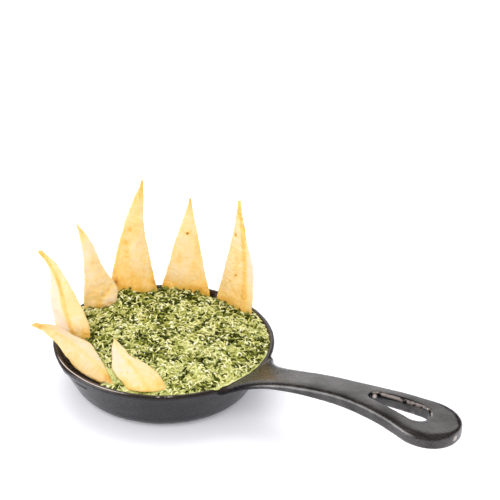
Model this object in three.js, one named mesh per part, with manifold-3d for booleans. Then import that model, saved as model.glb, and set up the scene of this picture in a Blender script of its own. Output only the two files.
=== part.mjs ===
// A small cast-iron skillet filled to the rim with creamy chopped-spinach dip, with seven crisp
// golden pastry wedges standing and lying in it. Millimetres, +Z up. The origin is the centre of
// the pan's flat bottom, which stands on z = 0, and the handle runs along +X.
import * as THREE from 'three';
import { mergeVertices } from 'three/addons/utils/BufferGeometryUtils.js';
import Module from 'manifold-3d';

// ---------------------------------------------------------------- driving dimensions
const RIM_RADIUS = 84; // outside of the pan at the top
const PAN_HEIGHT = 38;
const WALL = 4;
const FLOOR = 4.5;
const WALL_FOOT_RADIUS = 64.5; // where the straight outside wall would meet the floor
const BOTTOM_CORNER = 16; // radius that rounds the wall into the bottom
const LIP_ROUND = 1.9; // rounding of the rim's two edges
const PAN_SIDES = 64;
const BOTTOM_STEPS = 5;
const LIP_STEPS = 2;

const POUR_LIP_BEARING = 106; // degrees from the handle, one each side
const POUR_LIP_HALF_ANGLE = 17;
const POUR_LIP_REACH = 1.2;
const POUR_LIP_DEPTH = 20; // how far down the wall a pour lip fades out

const HANDLE_END = 249.3; // farthest point from the pan's centre
const HANDLE_ROOT = 70; // buried start, trimmed by the pan's inside
const HANDLE_NECK_HALF = 12.45;
const HANDLE_HEAD_HALF = 35.3; // half width that it would reach at HANDLE_HEAD_FULL, past its end
const HANDLE_HEAD_FROM = 155.8;
const HANDLE_HEAD_FULL = 304;
const HANDLE_END_ROUND_FROM = 221;
const HANDLE_END_POWER = 1.62;
const ROOT_FLARE = 12.8; // extra half width where the handle meets the rim
const ROOT_FLARE_LENGTH = 11.7;
const ROOT_HALF_MOST = 32;
const ROOT_DROP = 0.6; // the handle's top lies this far under the rim
const HANDLE_RISE = 27.4;
const RISE_FROM = 80;
const RISE_TO = 210;
const HANDLE_NOD = 1.2; // the head bows down again by this much
const NOD_FROM = 197;
const NOD_LENGTH = 40;
const HANDLE_THIN = 6.2;
const HANDLE_THICK = 10.2;
const THICKEN_FROM = 90;
const THICKEN_LENGTH = 96;
const HANDLE_TOP_ROUND = 3;
const HANDLE_UNDER_ROUND = 1.8;
const ROUND_SHARE = 0.6; // a rounding takes at most this share of the half width
const ROOT_UNDER_SLOPE = 0.9; // share of the flare's width that slopes up to its edge
const HANDLE_BODY_STEPS = 22;
const HANDLE_END_STEPS = 7;
const HANDLE_END_SHARE = 0.997; // the last section stops just short of the end
const SECTION_STEPS = 2; // in each rounded corner of a section

const HOLE_TIP = { at: 186.5, radius: 3.7 }; // narrow end of the teardrop hole
const HOLE_HEAD = { at: 218.5, radius: 8.6 };
const HOLE_FLARE = 1.5; // rounding of the hole's edges
const HOLE_FLARE_DEPTH = 1.6;
const HOLE_STEPS = 9; // in each end of the teardrop

const GAP = 0.3; // between pieces that touch
const DIP_MOUND = 4.5; // the dip's middle stands this far above the rim
const DIP_EDGE = -0.6; // level at the wall, from the rim
const DIP_EDGE_MOST = 1.2; // the mound's curve goes on to this share of the pan's inner radius
const DIP_CEILING = 14; // nothing of the dip stands higher than this above the rim
const DIP_BLOCK_BOTTOM = -1; // the dip's block is trimmed to the pan's inside
const DIP_CELL = 4.2; // spacing of the lumpy surface
const DIP_STAGGER = 0.25; // share of a cell by which its rows are shifted
const DIP_LUMP = 1.7; // height of its lumps
const DIP_SEED = 11;
// Crossed waves of the lumps, in radians per millimetre, and the share of each kind.
const SLOW_WAVE = { x: 0.41, y: 0.37, shift: 0.6, sway: 1.3, swayY: 0.23, share: 0.45 };
const QUICK_WAVE = { x: 0.83, y: -0.59, crossX: 0.2, crossY: 0.71, share: 0.35 };
const CHANCE_SHARE = 0.9;

const SHRED_COUNT = 36;
const SHRED_WIDTH = 1.7;
const SHRED_THICKNESS = 1.1;
const SHRED_LENGTH = [5, 9];
const SHRED_MARGIN = 6; // shreds start at least this far inside the wall
const SHRED_BEND = 1.2; // most turn from the middle of the range, in radians
const SHRED_END_WIDTH = 0.55; // share of the width at a shred's ends
const SHRED_LIFT = 0.35;
const SHRED_ARCH = 0.5; // extra lift in a shred's middle
const SHRED_STEPS = 4;
const SHRED_SEED = 29;

const CHIP_THICKNESS = 1.7;
const CHIP_RIDGE_SOFTNESS = 1.3;
const CHIP_LEAST_WIDTH = 1.7;
const CHIP_EDGE_SHARE = 0.75; // share of the thickness at an edge
const CHIP_ROWS = 12;
const CHIP_COLUMNS = 6;
// A wedge's ripple: radians up its length and across it, and the slower wave's radians and start.
const CHIP_RIPPLE = { up: 7, across: 2.3, slow: 3.1, shift: 1 };
const POCKET_GROWTH = 1.2; // a pocket in the dip grows by this many gaps behind and in front

const MERGE_DISTANCE = 1e-4;
// The random stream: each state is the last times a factor plus a step, within 32 bits.
const RANDOM_FACTOR = 1664525;
const RANDOM_STEP = 1013904223;
const RANDOM_RANGE = 2 ** 32;

// Places where the dip stands higher or lower than a plain mound: bearing in degrees from the
// handle, distance from the centre, spread and height.
const DIP_SWELLS = [
  { bearing: 160, radius: 66, spread: 15, height: 4.5 },
  { bearing: 101, radius: 76, spread: 9, height: -4.2 },
  { bearing: -139, radius: 82, spread: 18, height: -9 },
  { bearing: -116, radius: 82, spread: 17, height: -8 },
  { bearing: -95, radius: 81, spread: 15, height: -8 },
  { bearing: 8, radius: 55, spread: 16, height: 1.6 },
  { bearing: -62, radius: 60, spread: 19, height: -2.4 },
  { bearing: 50, radius: 82, spread: 20, height: -1.8 },
];

// Each wedge stands on a foot point in the dip. Angles are in degrees: bearing and turn about the
// pan's centre line and its own, lean backwards from upright, slant within its own plane. left
// and right are its edges, from the foot to the tip at even steps of its length, ridge is the
// crease between its two wings, and base gives how far its lower edge reaches, left to right.
const CHIPS = [
  {
    name: 'chip_far_left',
    bearing: -133.2, radius: 62.7, height: 3, turn: 19, lean: 12, slant: -14, length: 69,
    left: [-23.5, -23.6, -22.9, -21.5, -18.7, -18.2, -23],
    right: [7.6, 7.9, 4.2, 1, -3.1, -8.3, -19.5],
    ridge: [-4.8, -6.1, -7.9, -8.7, -9.7, -13.1, -21],
    base: [10, -7, -9], wings: [0.55, 0.15], curl: 2, wave: 0.5,
  },
  {
    name: 'chip_back_left',
    bearing: 182.6, radius: 63.2, height: 2, turn: 55, lean: 8, slant: -12, length: 71,
    left: [-12.9, -9.3, -5.4, -2.2, -0.3, 0.6, 0.6],
    right: [14.5, 15.2, 14.2, 11, 9.4, 6.4, 2.4],
    ridge: [0, 0.3, 2.6, 3.9, 3.3, 2.6, 1.9],
    base: [-4, -7, -5], wings: [0.25, 0.2], curl: -2, wave: 0.9,
  },
  {
    name: 'chip_tall',
    bearing: 150.5, radius: 66.3, height: 4, turn: 49, lean: 10, slant: 2, length: 91,
    left: [-19.8, -18.4, -15.5, -11.8, -7.6, -2, 3.9],
    right: [17.2, 13.8, 10.8, 7.7, 5.8, 6.2, 5.6],
    ridge: [2, 2, 1.8, 1.4, 1.2, 2.4, 4.7],
    base: [-2.5, -8, -6.5], wings: [0.12, 0.2], curl: 1.5, wave: 0.8,
  },
  {
    name: 'chip_back_right',
    bearing: 115.9, radius: 70.1, height: -1, turn: 29, lean: 8, slant: 1, length: 79.5,
    left: [-21.8, -18.8, -15.4, -12.9, -9.1, -5, -2],
    right: [18, 14.6, 11.3, 8.4, 5.3, 1.9, -0.4],
    ridge: [0, -0.2, -0.5, -0.7, -0.9, -1.2, -1.3],
    base: [-3, -6, -4], wings: [0.16, 0.16], curl: -1.5, wave: 0.7,
  },
  {
    name: 'chip_right',
    bearing: 78.1, radius: 66.3, height: -3, turn: 1, lean: 3, slant: 3, length: 96.4,
    left: [-17.6, -16, -12.3, -9.5, -7.3, -4.8, -3.3],
    right: [16.3, 15.8, 14.4, 11.7, 6.4, 2.2, -1.6],
    ridge: [11.2, 10.3, 8.7, 6.9, 4.1, 1.2, -2],
    base: [-4, -6, -2], wings: [0.06, 0.7], curl: 1.5, wave: 0.6,
  },
  {
    name: 'chip_over_rim',
    bearing: -79.8, radius: 73.8, height: -2.5, turn: 15, lean: 69, slant: -66, length: 92,
    left: [-0.6, -3.5, -5.2, -3.6, -0.5, 0.1, -1.3],
    right: [2.6, 8.1, 13.2, 16.2, 12.8, 11.6, 1],
    ridge: [1.5, 4.2, 6.2, 6.6, 5.4, 3.8, 0],
    base: [-1.5, -2, -1.5], wings: [0.35, 0.3], curl: -2, wave: 0.5,
  },
  {
    name: 'chip_front',
    bearing: -57.8, radius: 75.4, height: 1, turn: 36, lean: 80, slant: -13, length: 57.2,
    left: [-12, -15.1, -19.4, -22.1, -21, -19.9, -17.6],
    right: [13.4, 11.7, 9, 2.6, -7.6, -11.3, -15.8],
    ridge: [0, -2.8, -5.7, -8.5, -13, -15.6, -16.7],
    base: [5, -1.5, 0.5], wings: [0.12, 0.12], curl: 1, wave: 0.6,
  },
];

const FINISHES = {
  iron: { color: 0x3d3b3f, roughness: 0.5, metalness: 0.6 },
  dip: { color: 0x8f9a4c, roughness: 0.45, metalness: 0 },
  chip: { color: 0xf3c579, roughness: 0.6, metalness: 0 },
};

// ---------------------------------------------------------------- small helpers
const wasm = await Module();
wasm.setup();

const degrees = (angle) => THREE.MathUtils.degToRad(angle);

/** Eases from 0 to 1 as t goes from 0 to 1, flat at both ends. */
function ease(t) {
  const clamped = THREE.MathUtils.clamp(t, 0, 1);
  return clamped * clamped * (3 - 2 * clamped);
}

/** A repeatable stream of numbers from 0 to 1. */
function seededRandom(seed) {
  let state = seed;
  return () => {
    state = (Math.imul(state, RANDOM_FACTOR) + RANDOM_STEP) >>> 0;
    return state / RANDOM_RANGE;
  };
}

/** Turns a closed geometry into a solid that can be joined and cut. */
function solidOf(geometry) {
  geometry.deleteAttribute('normal');
  geometry.deleteAttribute('uv');
  const merged = mergeVertices(geometry, MERGE_DISTANCE);
  const vertProperties = new Float32Array(merged.attributes.position.array);
  const triVerts = new Uint32Array(merged.index.array);
  return new wasm.Manifold(new wasm.Mesh({ numProp: 3, vertProperties, triVerts }));
}

/** Turns a solid back into a geometry. */
function geometryOf(solid) {
  const { vertProperties, triVerts } = solid.getMesh();
  const geometry = new THREE.BufferGeometry();
  geometry.setAttribute('position', new THREE.BufferAttribute(new Float32Array(vertProperties), 3));
  geometry.setIndex(new THREE.BufferAttribute(new Uint32Array(triVerts), 1));
  geometry.computeVertexNormals();
  return geometry;
}

/** The largest of the separate bodies in a solid. */
function largestBody(solid) {
  const bodies = solid.decompose();
  return bodies.reduce((most, body) => (body.volume() > most.volume() ? body : most));
}

/**
 * A closed geometry from rings of equal length that follow one another. Each ring is a closed
 * loop of points; the first and the last ring are closed with a fan.
 */
function loft(rings) {
  const sides = rings[0].length;
  const positions = rings.flat().flatMap((point) => [point.x, point.y, point.z]);
  const index = [];
  for (let ring = 0; ring + 1 < rings.length; ring += 1) {
    for (let side = 0; side < sides; side += 1) {
      const next = (side + 1) % sides;
      const a = ring * sides + side;
      const b = ring * sides + next;
      index.push(a, b, a + sides, b, b + sides, a + sides);
    }
  }
  const last = (rings.length - 1) * sides;
  for (let side = 1; side + 1 < sides; side += 1) {
    index.push(0, side + 1, side);
    index.push(last, last + side, last + side + 1);
  }
  const geometry = new THREE.BufferGeometry();
  geometry.setAttribute('position', new THREE.Float32BufferAttribute(positions, 3));
  geometry.setIndex(index);
  return geometry;
}

/** As loft, but its two ends are closed with a strip between their front and back halves. */
function loftStrips(rings) {
  const geometry = loft(rings);
  const sides = rings[0].length;
  const half = sides / 2;
  const index = Array.from(geometry.index.array).slice(0, (rings.length - 1) * sides * 6);
  const last = (rings.length - 1) * sides;
  for (let column = 0; column + 1 < half; column += 1) {
    const a = column;
    const b = column + 1;
    const c = sides - 1 - column;
    const d = sides - 2 - column;
    index.push(a, c, b, b, c, d);
    index.push(last + a, last + b, last + c, last + b, last + d, last + c);
  }
  geometry.setIndex(index);
  return geometry;
}

/** A named mesh of one finished solid. */
function piece(name, solid, finish) {
  const mesh = new THREE.Mesh(geometryOf(solid), new THREE.MeshStandardMaterial(finish));
  mesh.name = name;
  return mesh;
}

// ---------------------------------------------------------------- skillet
const wallSlope = (RIM_RADIUS - WALL_FOOT_RADIUS) / PAN_HEIGHT;
const wallAngle = Math.atan(wallSlope);

/** Outline of the pan's outside, or of its inside when inset, from the axis up to the rim. */
function panOutline(inset, floor, top) {
  const wallInset = inset / Math.cos(wallAngle);
  const corner = BOTTOM_CORNER - inset;
  const tangent = corner * Math.tan((Math.PI / 2 - wallAngle) / 2);
  const footRadius = WALL_FOOT_RADIUS - wallInset + floor * wallSlope;
  const centre = { r: footRadius - tangent, z: floor + corner };
  const outline = [new THREE.Vector2(0, floor)];
  for (let step = 0; step <= BOTTOM_STEPS; step += 1) {
    const angle = ((Math.PI / 2 - wallAngle) * step) / BOTTOM_STEPS;
    const r = centre.r + corner * Math.sin(angle);
    const z = centre.z - corner * Math.cos(angle);
    outline.push(new THREE.Vector2(r, z));
  }
  const middle = (outline.at(-1).y + top) / 2;
  for (const height of [middle, top]) {
    outline.push(new THREE.Vector2(WALL_FOOT_RADIUS - wallInset + height * wallSlope, height));
  }
  return outline;
}

/** How far a pour lip pushes the wall outwards at a bearing (degrees) and a height. */
function pourLip(bearing, height) {
  const side = Math.abs(Math.abs(bearing) - POUR_LIP_BEARING) / POUR_LIP_HALF_ANGLE;
  const across = side < 1 ? 0.5 + 0.5 * Math.cos(Math.PI * side) : 0;
  return POUR_LIP_REACH * across * ease(1 - (PAN_HEIGHT - height) / POUR_LIP_DEPTH);
}

/** Turns an outline (radius, height) about the pan's axis and adds the pour lips. */
function turned(outline) {
  const geometry = new THREE.LatheGeometry(outline, PAN_SIDES);
  geometry.rotateX(Math.PI / 2);
  const position = geometry.attributes.position;
  for (let i = 0; i < position.count; i += 1) {
    const x = position.getX(i);
    const y = position.getY(i);
    const z = position.getZ(i);
    const radius = Math.hypot(x, y);
    if (radius > BOTTOM_CORNER) {
      const bearing = THREE.MathUtils.radToDeg(Math.atan2(y, x));
      const scale = 1 + pourLip(bearing, z) / radius;
      position.setXYZ(i, x * scale, y * scale, z);
    }
  }
  return solidOf(geometry);
}

/** Quarter round from an edge of the straight wall to the flat top: side is -1 inwards, 1 outwards. */
function lipArc(edge, side) {
  return Array.from({ length: LIP_STEPS }, (_, step) => {
    const angle = ((Math.PI / 2) * (step + 1)) / LIP_STEPS;
    const r = edge + side * LIP_ROUND * (1 - Math.cos(angle));
    const z = PAN_HEIGHT - LIP_ROUND * (1 - Math.sin(angle));
    return new THREE.Vector2(r, z);
  });
}

/** The pan's outside as a full solid, with the rim's outer edge rounded. */
function panOutside() {
  const outline = panOutline(0, 0, PAN_HEIGHT - LIP_ROUND);
  outline.push(...lipArc(outline.at(-1).x, -1));
  outline.push(new THREE.Vector2(0, PAN_HEIGHT));
  return turned(outline);
}

/** The space inside the pan, shrunk by a clearance and open above up to a height. */
function panInside(clearance, top) {
  const outline = panOutline(WALL + clearance, FLOOR + clearance, PAN_HEIGHT - LIP_ROUND);
  outline.push(...lipArc(outline.at(-1).x, 1));
  outline.push(new THREE.Vector2(outline.at(-1).x + (top - PAN_HEIGHT) * wallSlope, top));
  outline.push(new THREE.Vector2(0, top));
  return turned(outline);
}

/** Height of the handle's top face at a distance from the pan's centre. */
function handleTop(distance) {
  const along = THREE.MathUtils.clamp((distance - RISE_FROM) / (RISE_TO - RISE_FROM), 0, 1);
  const rise = HANDLE_RISE * (1 - (1 - along) ** 2);
  const nod = HANDLE_NOD * ease((distance - NOD_FROM) / NOD_LENGTH);
  return PAN_HEIGHT - ROOT_DROP + rise - nod;
}

/** Half the handle's width at a distance from the pan's centre. */
function handleHalf(distance) {
  const head = ease((distance - HANDLE_HEAD_FROM) / (HANDLE_HEAD_FULL - HANDLE_HEAD_FROM));
  const flare = ROOT_FLARE * Math.exp((RIM_RADIUS - distance) / ROOT_FLARE_LENGTH);
  const plain = HANDLE_NECK_HALF + flare + (HANDLE_HEAD_HALF - HANDLE_NECK_HALF) * head;
  const past = (distance - HANDLE_END_ROUND_FROM) / (HANDLE_END - HANDLE_END_ROUND_FROM);
  const round = Math.sqrt(1 - THREE.MathUtils.clamp(past, 0, 1) ** HANDLE_END_POWER);
  return Math.min(plain, ROOT_HALF_MOST) * round;
}

/** The handle's thickness at a distance from the pan's centre. */
function handleThickness(distance) {
  const share = ease((distance - THICKEN_FROM) / THICKEN_LENGTH);
  return HANDLE_THIN + (HANDLE_THICK - HANDLE_THIN) * share;
}

/** One cross-section of the handle: a slab with rounded edges. */
function handleSection(distance) {
  const half = handleHalf(distance);
  const top = handleTop(distance);
  const bottom = top - handleThickness(distance);
  const upper = Math.min(HANDLE_TOP_ROUND, half * ROUND_SHARE);
  const web = distance < HANDLE_HEAD_FROM ? Math.max(half - HANDLE_NECK_HALF, 0) : 0;
  const lower = HANDLE_UNDER_ROUND + web * ROOT_UNDER_SLOPE;
  const wide = Math.min(lower, half * ROUND_SHARE);
  const high = Math.min(lower, handleThickness(distance) / 2);
  const corners = [
    { y: half - upper, z: top - upper, wide: upper, high: upper, from: 0 },
    { y: upper - half, z: top - upper, wide: upper, high: upper, from: 90 },
    { y: wide - half, z: bottom + high, wide, high, from: 180 },
    { y: half - wide, z: bottom + high, wide, high, from: 270 },
  ];
  const ring = [];
  for (const corner of corners) {
    for (let step = 0; step <= SECTION_STEPS; step += 1) {
      const angle = degrees(corner.from + (90 * step) / SECTION_STEPS);
      const y = corner.y + corner.wide * Math.cos(angle);
      const z = corner.z + corner.high * Math.sin(angle);
      ring.push(new THREE.Vector3(distance, y, z));
    }
  }
  return ring;
}

/** The handle as a solid that starts inside the pan's wall. */
function handleSolid() {
  const rings = [];
  for (let step = 0; step < HANDLE_BODY_STEPS; step += 1) {
    const share = step / HANDLE_BODY_STEPS;
    rings.push(handleSection(THREE.MathUtils.lerp(HANDLE_ROOT, HANDLE_END_ROUND_FROM, share)));
  }
  for (let step = 0; step <= HANDLE_END_STEPS; step += 1) {
    const share = HANDLE_END_SHARE * Math.sin(((Math.PI / 2) * step) / HANDLE_END_STEPS);
    rings.push(handleSection(THREE.MathUtils.lerp(HANDLE_END_ROUND_FROM, HANDLE_END, share)));
  }
  return solidOf(loft(rings));
}

/** Outline of the teardrop hole, grown by a flare: the hull of a small and a large circle. */
function teardrop(flare) {
  const tip = HOLE_TIP.radius + flare;
  const head = HOLE_HEAD.radius + flare;
  const tangent = Math.acos((tip - head) / (HOLE_HEAD.at - HOLE_TIP.at));
  const points = [];
  for (let step = 0; step <= HOLE_STEPS; step += 1) {
    const angle = -tangent + (2 * tangent * step) / HOLE_STEPS;
    points.push([HOLE_HEAD.at + head * Math.cos(angle), head * Math.sin(angle)]);
  }
  for (let step = 0; step <= HOLE_STEPS; step += 1) {
    const angle = tangent + (2 * (Math.PI - tangent) * step) / HOLE_STEPS;
    points.push([HOLE_TIP.at + tip * Math.cos(angle), tip * Math.sin(angle)]);
  }
  return points;
}

/** The cutter of the handle's hole, which follows the handle's rise and flares at both faces. */
function holeCutter() {
  const levels = [
    { flare: HOLE_FLARE * 2, face: 0, offset: -HOLE_FLARE_DEPTH },
    { flare: HOLE_FLARE, face: 0, offset: 0 },
    { flare: 0, face: 0, offset: HOLE_FLARE_DEPTH },
    { flare: 0, face: 1, offset: -HOLE_FLARE_DEPTH },
    { flare: HOLE_FLARE, face: 1, offset: 0 },
    { flare: HOLE_FLARE * 2, face: 1, offset: HOLE_FLARE_DEPTH },
  ];
  const rings = levels.map(({ flare, face, offset }) =>
    teardrop(flare).map(([x, y]) => {
      const bottom = handleTop(x) - handleThickness(x);
      return new THREE.Vector3(x, y, (face ? handleTop(x) : bottom) + offset);
    }),
  );
  return solidOf(loft(rings));
}

/** Pan and handle, one casting. */
function skilletSolid() {
  const casting = panOutside().add(handleSolid().subtract(holeCutter()));
  return largestBody(casting.subtract(panInside(0, PAN_HEIGHT + HANDLE_RISE)));
}

// ---------------------------------------------------------------- chips
/** A value at a share of the way along evenly spaced stations, on a smooth curve. */
function along(stations, share) {
  const last = stations.length - 1;
  const place = THREE.MathUtils.clamp(share, 0, 1) * last;
  const i = Math.min(Math.floor(place), last - 1);
  const t = place - i;
  const before = stations[Math.max(i - 1, 0)];
  const after = stations[Math.min(i + 2, last)];
  const start = stations[i];
  const end = stations[i + 1];
  const leave = (end - before) / 2;
  const arrive = (after - start) / 2;
  const bend = 3 * (end - start) - 2 * leave - arrive;
  return start + leave * t + bend * t * t + (leave + arrive - 2 * (end - start)) * t ** 3;
}

/** Foot point and directions of a wedge: across it, up it and out of its face. */
function chipFrame(chip) {
  const bearing = degrees(chip.bearing);
  const turn = degrees(chip.turn);
  const lean = degrees(chip.lean);
  const slant = degrees(chip.slant);
  const foot = new THREE.Vector3(
    chip.radius * Math.cos(bearing),
    chip.radius * Math.sin(bearing),
    PAN_HEIGHT + chip.height,
  );
  const level = new THREE.Vector3(Math.cos(turn), Math.sin(turn), 0);
  const front = new THREE.Vector3(Math.sin(turn), -Math.cos(turn), 0);
  const rise = new THREE.Vector3(0, 0, Math.cos(lean)).addScaledVector(front, -Math.sin(lean));
  const across = level.clone().multiplyScalar(Math.cos(slant));
  across.addScaledVector(rise, -Math.sin(slant));
  const up = rise.clone().multiplyScalar(Math.cos(slant));
  up.addScaledVector(level, Math.sin(slant));
  const face = new THREE.Vector3().crossVectors(across, up);
  return { foot, across, up, face };
}

/** A point of a wedge's middle sheet: side runs from -1 to 1, share from the foot to the tip. */
function chipPoint(chip, frame, side, share, clearance, lift) {
  const [baseLeft, baseMiddle, baseRight] = chip.base;
  const baseTilt = (baseRight - baseLeft) / 2;
  const baseBow = (baseRight + baseLeft) / 2 - baseMiddle;
  const base = baseMiddle + baseTilt * side + baseBow * side * side - clearance;
  const height = THREE.MathUtils.lerp(base, chip.length + clearance, share);
  const place = height / chip.length;
  const middle = (along(chip.left, place) + along(chip.right, place)) / 2;
  const width = along(chip.right, place) - along(chip.left, place);
  const half = Math.max(width, CHIP_LEAST_WIDTH) / 2 + clearance;
  const across = middle + half * side;
  const off = across - along(chip.ridge, place);
  const slope = off < 0 ? chip.wings[0] : chip.wings[1];
  const fold = Math.hypot(off, CHIP_RIDGE_SOFTNESS) - CHIP_RIDGE_SOFTNESS;
  const quick = Math.sin(place * CHIP_RIPPLE.up + side * CHIP_RIPPLE.across);
  const ripple = quick * Math.sin(place * CHIP_RIPPLE.slow + CHIP_RIPPLE.shift);
  const depth = chip.curl * place ** 3 + chip.wave * ripple - slope * fold;
  return frame.foot
    .clone()
    .addScaledVector(frame.across, across)
    .addScaledVector(frame.up, height)
    .addScaledVector(frame.face, depth + lift);
}

/** A thin folded wedge, grown all round by a clearance. */
function chipSolid(chip, clearance = 0) {
  const frame = chipFrame(chip);
  const lift = CHIP_THICKNESS / 2 + clearance * POCKET_GROWTH;
  const rings = [];
  for (let row = 0; row <= CHIP_ROWS; row += 1) {
    const endRow = row === 0 || row === CHIP_ROWS;
    const front = [];
    const back = [];
    for (let column = 0; column <= CHIP_COLUMNS; column += 1) {
      const side = (2 * column) / CHIP_COLUMNS - 1;
      const half = endRow || Math.abs(side) === 1 ? lift * CHIP_EDGE_SHARE : lift;
      front.push(chipPoint(chip, frame, side, row / CHIP_ROWS, clearance, half));
      back.push(chipPoint(chip, frame, side, row / CHIP_ROWS, clearance, -half));
    }
    rings.push([...front, ...back.reverse()]);
  }
  return solidOf(loftStrips(rings));
}

// ---------------------------------------------------------------- dip
/** Height of the dip's surface, without its lumps. */
function dipLevel(x, y) {
  const inner = RIM_RADIUS - WALL;
  const radius = Math.hypot(x, y) / inner;
  let level = DIP_MOUND + (DIP_EDGE - DIP_MOUND) * Math.min(radius, DIP_EDGE_MOST) ** 3;
  for (const swell of DIP_SWELLS) {
    const sx = swell.radius * Math.cos(degrees(swell.bearing));
    const sy = swell.radius * Math.sin(degrees(swell.bearing));
    const distance = Math.hypot(x - sx, y - sy) / swell.spread;
    level += swell.height * Math.exp(-distance * distance);
  }
  return PAN_HEIGHT + level;
}

/** The dip's lumps: crossed waves of two lengths with some chance in them. */
function dipLump(x, y, random) {
  const sway = SLOW_WAVE.sway * Math.sin(y * SLOW_WAVE.swayY);
  const slow = Math.sin(x * SLOW_WAVE.x + sway) * Math.sin(y * SLOW_WAVE.y + SLOW_WAVE.shift);
  const cross = Math.cos(x * QUICK_WAVE.crossX + y * QUICK_WAVE.crossY);
  const quick = Math.sin(x * QUICK_WAVE.x + y * QUICK_WAVE.y) * cross;
  const chance = CHANCE_SHARE * (random() - 0.5);
  return DIP_LUMP * (SLOW_WAVE.share * slow + QUICK_WAVE.share * quick + chance);
}

/** A slab whose top is the dip's lumpy surface and whose other sides lie outside the pan. */
function dipBlock() {
  const random = seededRandom(DIP_SEED);
  const reach = RIM_RADIUS;
  const cells = Math.ceil((2 * reach) / DIP_CELL);
  const row = cells + 1;
  const positions = [];
  for (const top of [false, true]) {
    for (let j = 0; j < row; j += 1) {
      for (let i = 0; i < row; i += 1) {
        const stagger = j % 2 ? DIP_STAGGER : -DIP_STAGGER;
        const inside = i > 0 && i < cells;
        const x = -reach + (i + (inside ? stagger : 0)) * DIP_CELL;
        const y = -reach + j * DIP_CELL;
        positions.push(x, y, top ? dipLevel(x, y) + dipLump(x, y, random) : DIP_BLOCK_BOTTOM);
      }
    }
  }
  const index = [];
  const sheet = row * row;
  for (let j = 0; j < cells; j += 1) {
    for (let i = 0; i < cells; i += 1) {
      const a = j * row + i;
      const b = a + 1;
      const c = a + row;
      const d = c + 1;
      index.push(a, d, b, a, c, d);
      const diagonal = j % 2 ? [a, b, d, a, d, c] : [a, b, c, b, d, c];
      index.push(...diagonal.map((corner) => corner + sheet));
    }
  }
  for (let i = 0; i < cells; i += 1) {
    const edges = [
      [i, i + 1],
      [cells * row + i + 1, cells * row + i],
      [(i + 1) * row, i * row],
      [i * row + cells, (i + 1) * row + cells],
    ];
    for (const [from, to] of edges) {
      index.push(from, to, from + sheet, to, to + sheet, from + sheet);
    }
  }
  const geometry = new THREE.BufferGeometry();
  geometry.setAttribute('position', new THREE.Float32BufferAttribute(positions, 3));
  geometry.setIndex(index);
  return solidOf(geometry);
}

/** One curled shred of spinach, half sunk in the dip. */
function shredSolid(random) {
  const reach = RIM_RADIUS - WALL - SHRED_MARGIN;
  const radius = reach * Math.sqrt(random());
  const bearing = 2 * Math.PI * random();
  const heading = 2 * Math.PI * random();
  const length = THREE.MathUtils.lerp(SHRED_LENGTH[0], SHRED_LENGTH[1], random());
  const bend = THREE.MathUtils.lerp(-SHRED_BEND, SHRED_BEND, random());
  const rings = [];
  let x = radius * Math.cos(bearing);
  let y = radius * Math.sin(bearing);
  for (let step = 0; step <= SHRED_STEPS; step += 1) {
    const share = step / SHRED_STEPS;
    const swell = Math.sin(Math.PI * share);
    const direction = heading + bend * share;
    const taper = THREE.MathUtils.lerp(SHRED_END_WIDTH, 1, swell);
    const half = (SHRED_WIDTH / 2) * taper;
    const z = dipLevel(x, y) + SHRED_LIFT + SHRED_ARCH * swell;
    const sideX = -Math.sin(direction) * half;
    const sideY = Math.cos(direction) * half;
    rings.push([
      new THREE.Vector3(x, y, z + SHRED_THICKNESS * taper),
      new THREE.Vector3(x - sideX, y - sideY, z - SHRED_THICKNESS),
      new THREE.Vector3(x + sideX, y + sideY, z - SHRED_THICKNESS),
    ]);
    x += (length / SHRED_STEPS) * Math.cos(direction);
    y += (length / SHRED_STEPS) * Math.sin(direction);
  }
  return solidOf(loft(rings));
}

/** The dip: it fills the pan up to its lumpy surface and is cut round the chips. */
function dipSolid() {
  const random = seededRandom(SHRED_SEED);
  const shreds = Array.from({ length: SHRED_COUNT }, () => shredSolid(random));
  const body = wasm.Manifold.union([dipBlock(), ...shreds]);
  const filled = body.intersect(panInside(GAP, PAN_HEIGHT + DIP_CEILING));
  const pockets = wasm.Manifold.union(CHIPS.map((chip) => chipSolid(chip, GAP)));
  return largestBody(filled.subtract(pockets));
}

// ---------------------------------------------------------------- the part
const part = new THREE.Group();
part.add(piece('skillet', skilletSolid(), FINISHES.iron));
part.add(piece('spinach_dip', dipSolid(), FINISHES.dip));
for (const chip of CHIPS) {
  part.add(piece(chip.name, chipSolid(chip), FINISHES.chip));
}

export default part;
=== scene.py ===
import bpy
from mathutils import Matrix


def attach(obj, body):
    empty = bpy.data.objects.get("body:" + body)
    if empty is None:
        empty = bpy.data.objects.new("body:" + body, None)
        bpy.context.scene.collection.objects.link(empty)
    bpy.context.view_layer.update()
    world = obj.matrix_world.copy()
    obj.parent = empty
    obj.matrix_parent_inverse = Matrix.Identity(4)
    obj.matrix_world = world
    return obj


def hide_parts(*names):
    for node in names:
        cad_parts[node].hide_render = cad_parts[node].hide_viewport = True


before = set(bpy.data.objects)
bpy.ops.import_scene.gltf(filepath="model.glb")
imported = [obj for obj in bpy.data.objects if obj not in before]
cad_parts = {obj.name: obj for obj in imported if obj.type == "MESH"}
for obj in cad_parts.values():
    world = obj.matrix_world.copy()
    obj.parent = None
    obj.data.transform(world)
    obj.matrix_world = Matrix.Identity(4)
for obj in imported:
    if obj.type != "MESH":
        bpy.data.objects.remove(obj)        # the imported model: the fixed frame that everything here is built round

"""A small cast-iron skillet, filled to the rim with creamy chopped-spinach dip, and seven fried
pastry wedges in it.

The frame's origin is the centre of the pan's flat bottom, +Z is up and the handle runs along +X.
Sizes and places are in millimetres, and each mesh is written in metres.
"""
import logging
import math
from dataclasses import dataclass
from enum import Enum

import bmesh
import bpy
import numpy as np
from mathutils import Matrix

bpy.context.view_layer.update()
BODY = "root"
MM = 0.001
LOG = logging.getLogger("skillet_of_dip")


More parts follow.
